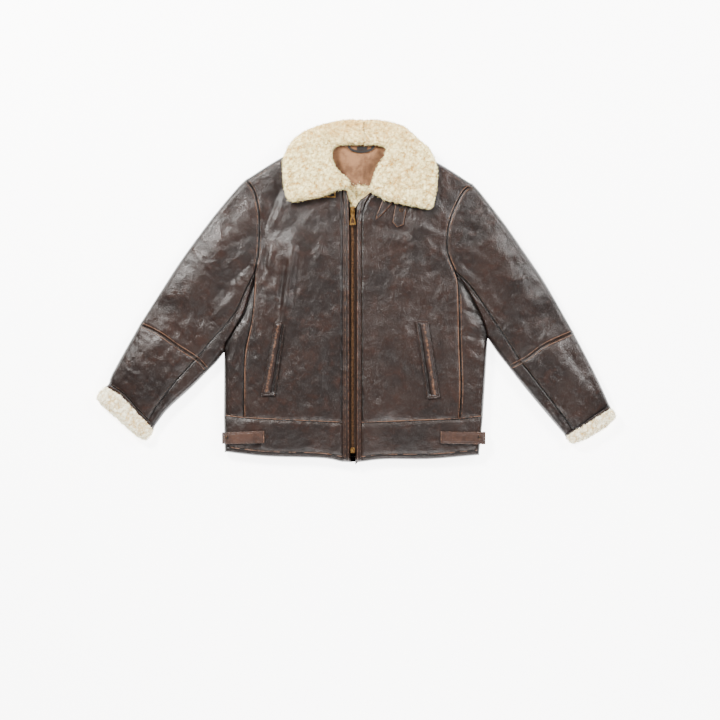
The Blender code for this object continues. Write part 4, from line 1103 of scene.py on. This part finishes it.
def make_wool(node, material, count, seed, voxel, high, hide_below, length):
    base = even_copy(node, "wool_" + node, voxel * MM)
    make_lumps(base, high, hide_below)
    dress(base, node, material)
    locks = make_locks("locks_" + node, base, count, seed, length, lowest=hide_below + 0.2)
    dress(locks, None, material)
    print(node, "faces of the pile:", triangles(base), "of the locks:", triangles(locks))


for side, seed in (("right", 31), ("left", 32)):
    make_wool("collar_" + side, fleece, count=3600, seed=seed, voxel=2.1, high=3.6,
              hide_below=-0.35, length=(4.0, 8.0))
for side, seed in (("right", 33), ("left", 34)):
    make_wool("cuff_" + side, white_fleece, count=1500, seed=seed, voxel=1.9, high=3.4,
              hide_below=-0.9, length=(4.0, 7.5))

# %% [markdown]
# ## Seams: ridges and thread
# A seam in thick hide is lapped and stitched down, so each one shows as a raised rubbed ridge with a row
# of thread beside it. They are real relief here: half-round strips laid on the skins, and one small bead
# for every stitch, both set on the height of the skin below them.

# %% Find the skin below any point, then lay ridges and stitches on it
from mathutils.bvhtree import BVHTree


def tree_of(*starts):
    points, faces = [], []
    for item in bpy.data.objects:
        if item.name.startswith(starts):
            shift = len(points)
            points += [vertex.co.copy() for vertex in item.data.vertices]
            faces += [tuple(shift + number for number in face.vertices) for face in item.data.polygons]
    return BVHTree.FromPolygons(points, faces)


surface = tree_of("skin_")
DOWN = Vector((0, 0, -1))


def height_at(points):
    """Height in mm of the dressed jacket at points given in mm."""
    found = []
    for x, y in points:
        hit = surface.ray_cast(Vector((x * MM, y * MM, 0.2)), DOWN)[0]
        found.append(hit.z / MM if hit else MIDDLE)
    return np.array(found)


def offset_line(line, distance, step):
    """A line moved sideways, to the left of its own direction if the distance is positive."""
    even = thin_out(np.asarray(line, float), step)
    along = np.gradient(even, axis=0)
    along /= np.linalg.norm(along, axis=1, keepdims=True)
    square = np.stack([-along[:, 1], along[:, 0]], axis=1)
    return even + distance * square, along, square


RIDGE_PROFILE = ((-1.0, -1.0), (-0.7, 0.45), (0.0, 1.0), (0.7, 0.45), (1.0, -1.0))
RIDGE_WEAR = (0.2, 0.8, 1.0, 0.8, 0.2)
BEAD_FACES = ((0, 1, 4), (1, 2, 4), (2, 3, 4), (3, 0, 4), (1, 0, 5), (2, 1, 5), (3, 2, 5), (0, 3, 5))


class Seams:
    """Collects ridges and stitches, then makes one mesh of each."""

    def __init__(self):
        self.points, self.quads, self.wear = [], [], []
        self.beads = []
        self.count = 0

    def ridge(self, line, offset, wide, high, wear=0.8):
        path, _, square = offset_line(line, offset, 3.0)
        level = height_at(path)
        level = np.convolve(np.pad(level, 1, "edge"), (0.25, 0.5, 0.25), "valid")
        fade = np.clip(np.minimum(np.arange(len(path)), np.arange(len(path))[::-1]) / 2.0, 0, 1)
        uneven = 1 + 0.3 * value_noise(path, 17, 8)
        rows = []
        for across, up in RIDGE_PROFILE:
            spot = path + 0.5 * wide * across * square
            rows.append(np.column_stack([spot, level + high * uneven * (up * fade - 0.3 * (1 - fade))]))
        grid = np.stack(rows, axis=1)
        number = self.count + np.arange(grid[..., 0].size).reshape(grid.shape[:2])
        quads = np.stack([number[:-1, :-1], number[1:, :-1], number[1:, 1:], number[:-1, 1:]], axis=-1)
        self.points.append(grid.reshape(-1, 3))
        self.quads.append(quads.reshape(-1, 4))
        worn = wear + 0.25 * value_noise(path, 31, 9)
        self.wear.append(np.repeat(worn, len(RIDGE_WEAR)) * np.tile(RIDGE_WEAR, len(path)))
        self.count += number.size

    def stitches(self, line, offset, pitch=3.6, length=2.4, wide=0.95, sink=0.15):
        path, along, square = offset_line(line, offset, pitch)
        level = height_at(path) - sink
        for spot, way, side, height in zip(path, along, square, level):
            self.beads.append((spot, way * length / 2, side * wide / 2, height))

    def make(self, name, threads):
        points, quads = np.concatenate(self.points) * MM, np.concatenate(self.quads)
        made = plain_mesh("ridges_" + name, points, quads)
        add_values(made.data, wear=np.concatenate(self.wear))
        dress(made, None, hide)
        corners = []
        for spot, way, side, height in self.beads:
            for x, y, z in ((*(spot - way), 0.1), (*(spot + side), 0.35), (*(spot + way), 0.1),
                            (*(spot - side), 0.35), (*spot, 0.85), (*spot, -0.3)):
                corners.append((x * MM, y * MM, (height + z) * MM))
        faces = [[6 * bead + number for number in face]
                 for bead in range(len(self.beads)) for face in BEAD_FACES]
        made = faceted_mesh("stitches_" + name, corners, faces)
        dress(made, None, threads)
        print(name, "stitches:", len(self.beads), "triangles:", triangles(made))


def thread(name, colour, dark):
    recipe = Recipe(name)
    ply = recipe.noise(900, 2.0, 0.5)
    recipe.set(Base_Color=recipe.mix(recipe.band(ply, 0.35, 0.65), dark, colour), Roughness=0.75)
    recipe.bumps((ply, 0.0002),)
    return recipe.material


STRIP_TOP, STRIP_FOOT = 150.0, -364.0       # where the stitches of the zip strips start and end
tan_thread = thread("tan_thread", linear(94, 66, 48), linear(44, 29, 21))
seams = {"body": Seams(), "sleeves": Seams()}
for side, line in LINES.items():
    out = 1 if side == "right" else -1          # turns an offset towards the zip, or up from the hem
    body, sleeves = seams["body"], seams["sleeves"]
    for offset, wide, high in ((-3.6, 2.6, 1.3), (3.6, 2.2, 1.0)):
        body.ridge(line["armhole"], out * offset, wide, high, 0.62)
    body.stitches(line["armhole"], out * -6.4)
    body.ridge(line["side_seam"], out * 2.6, 2.6, 1.2, 0.85)
    body.stitches(line["side_seam"], out * 5.4)
    if side == "left":
        body.ridge(line["side_seam"][14:], out * -4.2, 2.0, 1.0, 0.7)
    shoulder = offset_line(line["shoulder"], out * 9.0, 4.0)[0]
    body.ridge(shoulder, 0, 2.2, 0.9, 0.4)
    body.stitches(shoulder, out * 2.8)
    body.ridge(line["hem_seam"], out * 1.6, 2.6, 1.0, 0.8)
    body.stitches(line["hem_seam"], out * 5.2)
    body.stitches(line["hem_seam"], -out * 3.2)
    body.ridge(line["hem_top"], 0, 2.0, 0.9, 0.75)
    body.stitches(line["hem_top"], out * 2.6)
    for x, row in ((STRIP_RIDGES[side][0], -3.3), (STRIP_RIDGES[side][1], 3.3)):
        strip = np.array([(x + row, STRIP_TOP), (x + row, STRIP_FOOT)])
        body.stitches(strip, 0, pitch=3.4)
    sleeves.ridge(line["elbow"], 4.4, 1.9, 1.1, 0.9)
    sleeves.ridge(line["elbow"], -4.4, 1.9, 1.1, 0.85)
    sleeves.stitches(line["elbow"], 1.6, pitch=3.4)
    sleeves.stitches(line["elbow"], -1.6, pitch=3.4)
    under = np.vstack([line["under_upper"], line["under_fore"][1:]])
    sleeves.ridge(under, out * 3.4, 2.2, 1.0, 0.2)
    sleeves.stitches(under, -out * 3.6)
    sleeves.ridge(line["sleeve_end"], 3.0, 1.6, 0.7, 0.35)
for name, collected in seams.items():
    collected.make(name, tan_thread)

# %% [markdown]
# ## Pockets, tabs and straps
# These are cut from thicker hide and sewn on top. Each starts as an even copy of its solid, so it keeps
# its place and size, and is then worked: welts get a padded lip and a slit, every cut edge is rounded
# and rubbed pale, and thread goes round them a few millimetres in.

# %% Welts, tabs and straps
def sewn_on(node, material, outline, relief=None, voxel=1.1, worn=0.62, reach=2.0):
    """Even copy of a solid with rubbed edges, and relief on the faces that look up."""
    made = even_copy(node, "sewn_" + node, voxel * MM)
    points, normals = read_points(made.data)
    flat = points[:, :2] / MM
    up = smooth_step(0.1, 0.6, normals[:, 2])
    edge = distance_to(np.array(list(outline) + [outline[0]], float), flat)
    rise = 0.25 * value_noise(flat, 9, 12) - 0.5 * np.exp(-((edge - 4.2) / 1.0) ** 2)
    if relief is not None:
        rise = rise + relief(flat)
    points[:, 2] += rise * up * MM
    made.data.vertices.foreach_set("co", points.reshape(-1))
    add_values(made.data, wear=worn * np.exp(-(edge / reach) ** 2))
    made.data.update()
    dress(made, node, material)
    return made


LIPS = {       # share of the width from the left edge, height in mm
    "right": ((0.0, 0.0), (0.1, 1.0), (0.35, 1.5), (0.62, 1.0),
              (0.72, -2.0), (0.82, -2.0), (0.9, 0.4), (1.0, 0.0)),
    "left": ((0.0, 0.2), (0.12, 0.9), (0.2, -2.0), (0.3, -2.0),
             (0.4, 1.1), (0.65, 1.5), (0.9, 0.8), (1.0, 0.0)),
}


def welt_relief(side):
    corner = np.array(SIDES[side]["welt"], float)
    shares, heights = zip(*LIPS[side])

    def relief(points):
        x, y = points[:, 0], points[:, 1]
        near = np.interp(y, (corner[3, 1], corner[0, 1]), (corner[3, 0], corner[0, 0]))
        far = np.interp(y, (corner[2, 1], corner[1, 1]), (corner[2, 0], corner[1, 0]))
        lip = np.interp((x - near) / (far - near), shares, heights)
        from_end = np.minimum(y - corner[3, 1], corner[0, 1] - y)
        inside = smooth_step(5.0, 9.0, from_end)
        return lip * inside + 1.1 * np.exp(-((from_end - 3.5) / 2.6) ** 2)
    return relief


def change_wear_and_shade(piece, rule):
    """The rule gives each point's wear and painted shade from its place in mm and its value so far."""
    points, _ = read_points(piece.data)
    wear = np.empty(len(points), np.float32)
    values = piece.data.attributes["wear"].data
    values.foreach_get("value", wear)
    values.foreach_set("value", rule(points[:, :2] / MM, wear).astype(np.float32))


def rub_lips_shade_slit(made, side):
    """Rub the welt's lips as well as its edges, and paint shade into its slit."""
    def rule(places, wear):
        lip = welt_relief(side)(places)
        rubbed = np.maximum(0.8 * wear, 0.6 * smooth_step(0.9, 1.5, lip))
        return np.where(lip < -0.5, -1.0, rubbed)
    change_wear_and_shade(made, rule)


for side in SIDES:
    corner = SIDES[side]["welt"]
    welt = sewn_on("pocket_welt_" + side, hide, corner, welt_relief(side))
    rub_lips_shade_slit(welt, side)

TABS = {"right": [(-296, -311), (-202, -307), (-202, -337), (-296, -339)],
        "left": [(286, -311), (186, -309), (186, -337), (286, -339)]}
STRAPS = {
    "throat_strap_inner": [(60, 214), (84, 210), (79, 190), (56, 165), (42.5, 154), (45, 166), (57, 194)],
    "throat_strap_outer": [(89, 205), (116, 203), (112, 185), (104.5, 144), (90, 138), (80, 150),
                           (86, 187)],
    "throat_buckle_strap": [(-69, 226.5), (-49, 226.5), (-49, 251.5), (-69, 251.5)],
}
for side, corner in TABS.items():
    tab = sewn_on("side_tab_" + side, tab_hide, corner)
for node, outline in STRAPS.items():
    strap = sewn_on(node, hide, outline, worn=0.85, reach=2.4)
    low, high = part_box(node)

# %% [markdown]
# ## Thread, eyelets and brass
# The tabs are held by a boxed cross of thread at their sewn end and a row along each edge. Brass parts
# are cast and tarnished in random patches, so their colour and their gloss both vary.

# %% Brass, thread on the trim, eyelets
def metal(name, bright, dark, gloss=(0.28, 0.5)):
    recipe = Recipe(name)
    tarnish = recipe.noise(240, 4.0, 0.65)
    scratch = recipe.noise(1400, 2.0, 0.5, 0.0, recipe.stretched((1.0, 0.12, 1.0), 20))
    recipe.set(Base_Color=recipe.mix(recipe.band(tarnish, 0.38, 0.62), dark, bright), Metallic=1.0,
               Roughness=recipe.band(tarnish, 0.35, 0.65, gloss[1], gloss[0]))
    recipe.bumps((tarnish, 0.00012), (scratch, 0.00004))
    return recipe.material


brass = metal("aged_brass", linear(186, 146, 84), linear(84, 58, 34))
dark_brass = metal("tooth_brass", linear(92, 68, 48), linear(48, 34, 25), (0.5, 0.7))
dark_thread = thread("brown_thread", linear(34, 24, 19), linear(16, 11, 9))


surface = tree_of("skin_", "sewn_")


def inside_of(outline, inset):
    """The same outline, closed, with every corner drawn in towards the middle."""
    corner = np.asarray(outline, float)
    middle = corner.mean(axis=0)
    reach = np.linalg.norm(corner - middle, axis=1, keepdims=True)
    drawn = corner + (middle - corner) * inset / reach * 1.25
    return np.vstack([drawn, drawn[:1]])


RING_SIDES = 32


def ring(name, centre, inner, outer, high, material, node=None):
    """A turned eyelet, and a black disc in its hole as painted shadow."""
    level = float(height_at([centre])[0]) - 0.4
    profile = ((inner, 0.0), (inner, high * 0.7), ((inner + outer) / 2, high),
               (outer, high * 0.45), (outer, 0.0))
    turn = np.linspace(0, 2 * math.pi, RING_SIDES, endpoint=False)
    rows = [np.column_stack([centre[0] + radius * np.cos(turn), centre[1] + radius * np.sin(turn),
                             np.full(RING_SIDES, level + rise)]) for radius, rise in profile]
    points = np.stack(rows, axis=1).reshape(-1, 3) * MM
    quads = []
    for step in range(RING_SIDES):
        here, after = step * len(profile), (step + 1) % RING_SIDES * len(profile)
        for place in range(len(profile) - 1):
            quads.append((here + place, here + place + 1, after + place + 1, after + place))
    made = plain_mesh(name, points, np.array(quads))
    dress(made, node, material)
    # Painted shadow: a black disc fills the eyelet's hole.
    hole = [((centre[0] + inner * math.cos(angle)) * MM, (centre[1] + inner * math.sin(angle)) * MM,
             (level + 0.55) * MM) for angle in turn]
    dark = faceted_mesh(name + "_hole", hole, [tuple(range(RING_SIDES))])
    dress(dark, None, black_trim)


def woven(name, light, dark, pitch):
    """Tape or webbing: two sets of threads that cross."""
    recipe = Recipe(name)
    rows = []
    for turn in (45, -45):
        wave = recipe.add("ShaderNodeTexWave", wave_type="BANDS")
        recipe.feed(wave.inputs["Vector"], recipe.stretched((1, 1, 1), turn))
        wave.inputs["Scale"].default_value = pitch
        wave.inputs["Distortion"].default_value = 0.6
        rows.append(wave.outputs["Fac"])
    cloth = recipe.math("MULTIPLY", rows[0], rows[1])
    dirt = recipe.noise(120, 3.0, 0.6)
    colour = recipe.mix(recipe.band(cloth, 0.1, 0.7), dark, light)
    recipe.set(Base_Color=recipe.mix(recipe.band(dirt, 0.5, 0.75, 0.0, 0.5), colour, dark), Roughness=0.88)
    recipe.bumps((cloth, 0.0003),)
    return recipe.material


black_trim = woven("black_trim", linear(38, 28, 25), linear(12, 9, 8), 320)
zip_tape = woven("zip_tape", linear(66, 46, 34), linear(34, 24, 18), 420)


def shade_eyelet_hole(piece, centre, radius):
    """Painted shade: the hide inside and just round an eyelet is made dark."""
    def rule(places, wear):
        inside = np.linalg.norm(places - np.array(centre), axis=1) < radius
        return np.where(inside, -1.2, wear)
    change_wear_and_shade(piece, rule)


EYELETS = {"right": (-284.0, -324.0), "left": (271.0, -323.0)}
THROAT_EYELET = (99.0, 176.0)
THREAD_INSET, BOX_LENGTH = 3.5, 23.0         # the thread's distance from the edge, the box on a tab
trim_seams = Seams()
for side, corner in TABS.items():
    (x0, _), (x1, y1), (_, y2), _ = corner
    inwards = 1 if side == "right" else -1
    end, start = x1 - inwards * THREAD_INSET, x1 - inwards * BOX_LENGTH
    upper, lower = y1 - THREAD_INSET, y2 + THREAD_INSET
    box = [(start, upper), (end, upper), (end, lower), (start, lower), (start, upper)]
    for run in (box, [(start, upper), (end, lower)], [(start, lower), (end, upper)]):
        trim_seams.stitches(np.array(run), 0, pitch=2.9, length=2.0, wide=0.8)
    for level in (upper, lower):
        trim_seams.stitches(np.array([(start, level), (x0 + inwards * 14, level)]), 0, pitch=3.2)
    ring("eyelet_tab_" + side, EYELETS[side], 2.0, 3.6, 1.2, dark_brass)
    shade_eyelet_hole(bpy.data.objects["sewn_side_tab_" + side], EYELETS[side], 4.0)
for side in SIDES:
    trim_seams.stitches(inside_of(SIDES[side]["welt"], 2.0), 0, pitch=3.3)
    trim_seams.ridge(SIDES[side]["welt"] + SIDES[side]["welt"][:1], 0, 1.4, 0.4, 0.3)
for node, outline in STRAPS.items():
    trim_seams.stitches(inside_of(outline, 3.0), 0, pitch=3.0, length=2.1, wide=0.8)
trim_seams.make("trim", dark_thread)
ring("eyelet_throat", THROAT_EYELET, 2.0, 4.4, 1.3, dark_brass, node="throat_strap_eyelet")
shade_eyelet_hole(bpy.data.objects["sewn_throat_strap_outer"], THROAT_EYELET, 5.0)

# %% [markdown]
# ## Zip
# A metal zip of coarse teeth, clamped on woven tape, runs up the front to the throat. Every tooth is a
# small block with a bevelled head, set half a pitch off its neighbour on the other tape. The slider, its
# pull and the bottom stop keep the shape of their solids, with their edges eased.

# %% Teeth, tape and sliders
ZIP_CENTRE, TOOTH_PITCH = -7.4, 2.6
BLOCK_FACES = ((0, 1, 2, 3), (7, 6, 5, 4), (0, 4, 5, 1), (1, 5, 6, 2), (2, 6, 7, 3), (3, 7, 4, 0))


def make_teeth():
    """Every tooth is a block between its root on the tape and its head past the middle."""
    low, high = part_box("zip_teeth")
    points, quads = [], []
    places = np.arange(low[1] / MM + 1.0, high[1] / MM - 1.0, TOOTH_PITCH)
    for hand in (-1, 1):
        root, head = ZIP_CENTRE + hand * 3.0, ZIP_CENTRE - hand * 0.5
        for y in places + (0 if hand < 0 else TOOTH_PITCH / 2):
            quads += [[len(points) + number for number in face] for face in BLOCK_FACES]
            for x, half, z0, z1 in ((root, 0.7, 0.1, 1.9), (head, 0.9, 0.0, 2.5)):
                points += [(x, y - half, z0), (x, y + half, z0), (x, y + half, z1), (x, y - half, z1)]
    points = np.array(points)
    points[:, 2] += low[2] / MM
    made = plain_mesh("teeth", points * MM, np.array(quads))
    for face in made.data.polygons:
        face.use_smooth = False
    dress(made, "zip_teeth", dark_brass)
    print("Teeth on both tapes:", 2 * len(places))


def keep_solid(node, material, ease=0.0):
    """A solid that shows as it is: its own finish, and eased edges where it is cast."""
    item = frame["nodes"][node]
    item.data.materials.clear()
    item.data.materials.append(material)
    if ease:
        bevel = item.modifiers.new("eased", "BEVEL")
        bevel.width, bevel.segments, bevel.limit_method = ease * MM, 2, "ANGLE"


make_teeth()
for node in ("zip_tape_right", "zip_tape_left"):
    keep_solid(node, zip_tape)
CAST = {"zip_slider_top": 0.5, "zip_slider_bottom": 0.6, "zip_pull": 0.35, "throat_buckle": 0.6}
for node, ease in CAST.items():
    keep_solid(node, brass, ease)
for node in ("neck_label", "hanger_loop"):
    keep_solid(node, black_trim, 0.3)

# %% [markdown]
# ## Inside the neck
# Between the collar leaves the inside of the back shows: a facing of wool sheared down to suede with a
# lapped seam at its middle, and below it, where the zip closes, the deep pile of the body.

# %% Facing and the pile in the open neck
def suede(name, light, dark):
    recipe = Recipe(name)
    nap = recipe.noise(620, 3.0, 0.6)
    hand_marks = recipe.noise(34, 4.0, 0.65)
    colour = recipe.mix(recipe.band(hand_marks, 0.36, 0.64), dark, light)
    recipe.set(Base_Color=recipe.mix(recipe.band(nap, 0.55, 0.8, 0.0, 0.45), colour, dark), Roughness=0.95)
    recipe.shader.inputs["Sheen Weight"].default_value = 0.12
    recipe.shader.inputs["Specular IOR Level"].default_value = 0.2
    recipe.bumps((nap, 0.0005), (hand_marks, 0.0012))
    return recipe.material


NECK_CORNERS = [(-70, 328), (88, 328), (44, 230), (-26, 230)]
PILE_CORNERS = [(-30, 238), (50, 238), (46, 184), (-26, 184)]
FACING_LEVEL, PILE_LEVEL = 15.5, 14.6


def grid_in(corners, step):
    """Even grid inside four corners, which go clockwise from the upper left."""
    corner = np.array(corners, float)
    return span_grid(corner[[0, 3]], corner[[1, 2]], corner[[0, 1]], corner[[3, 2]], step)


def make_facing():
    grid = grid_in(NECK_CORNERS, 2.2)
    x, y = grid[..., 0], grid[..., 1]
    gap = np.abs(x - (20.0 + 0.06 * (y - 230)))          # distance from the seam at the middle
    lapped = 0.9 * np.exp(-((gap - 6.5) / 1.5) ** 2) - 0.8 * np.exp(-(gap / 2.0) ** 2)
    level = FACING_LEVEL + lapped + 0.7 * value_noise(grid, 19, 21) + 0.35 * value_noise(grid, 6, 22)
    level = level - 1.2 * smooth_step(316, 326, y)
    grid = np.concatenate([grid, level[..., None]], axis=-1)
    piece = skin_piece("facing", [(grid, True, 0.0)])
    dress(piece, "neck_facing", suede("facing_suede", linear(122, 88, 62), linear(88, 61, 42)))


def make_inner_pile():
    grid = grid_in(PILE_CORNERS, 1.5)
    level = PILE_LEVEL + 5.0 * smooth_step(237, 224, grid[..., 1])
    piece = skin_piece("pile_inside", [(np.concatenate([grid, level[..., None]], axis=-1), True, 0.0)])
    make_lumps(piece, 3.0, -0.9)
    dress(piece, None, fleece)
    locks = make_locks("locks_inside", piece, 520, 41, (4.0, 7.5))
    dress(locks, None, fleece)


make_facing()
make_inner_pile()
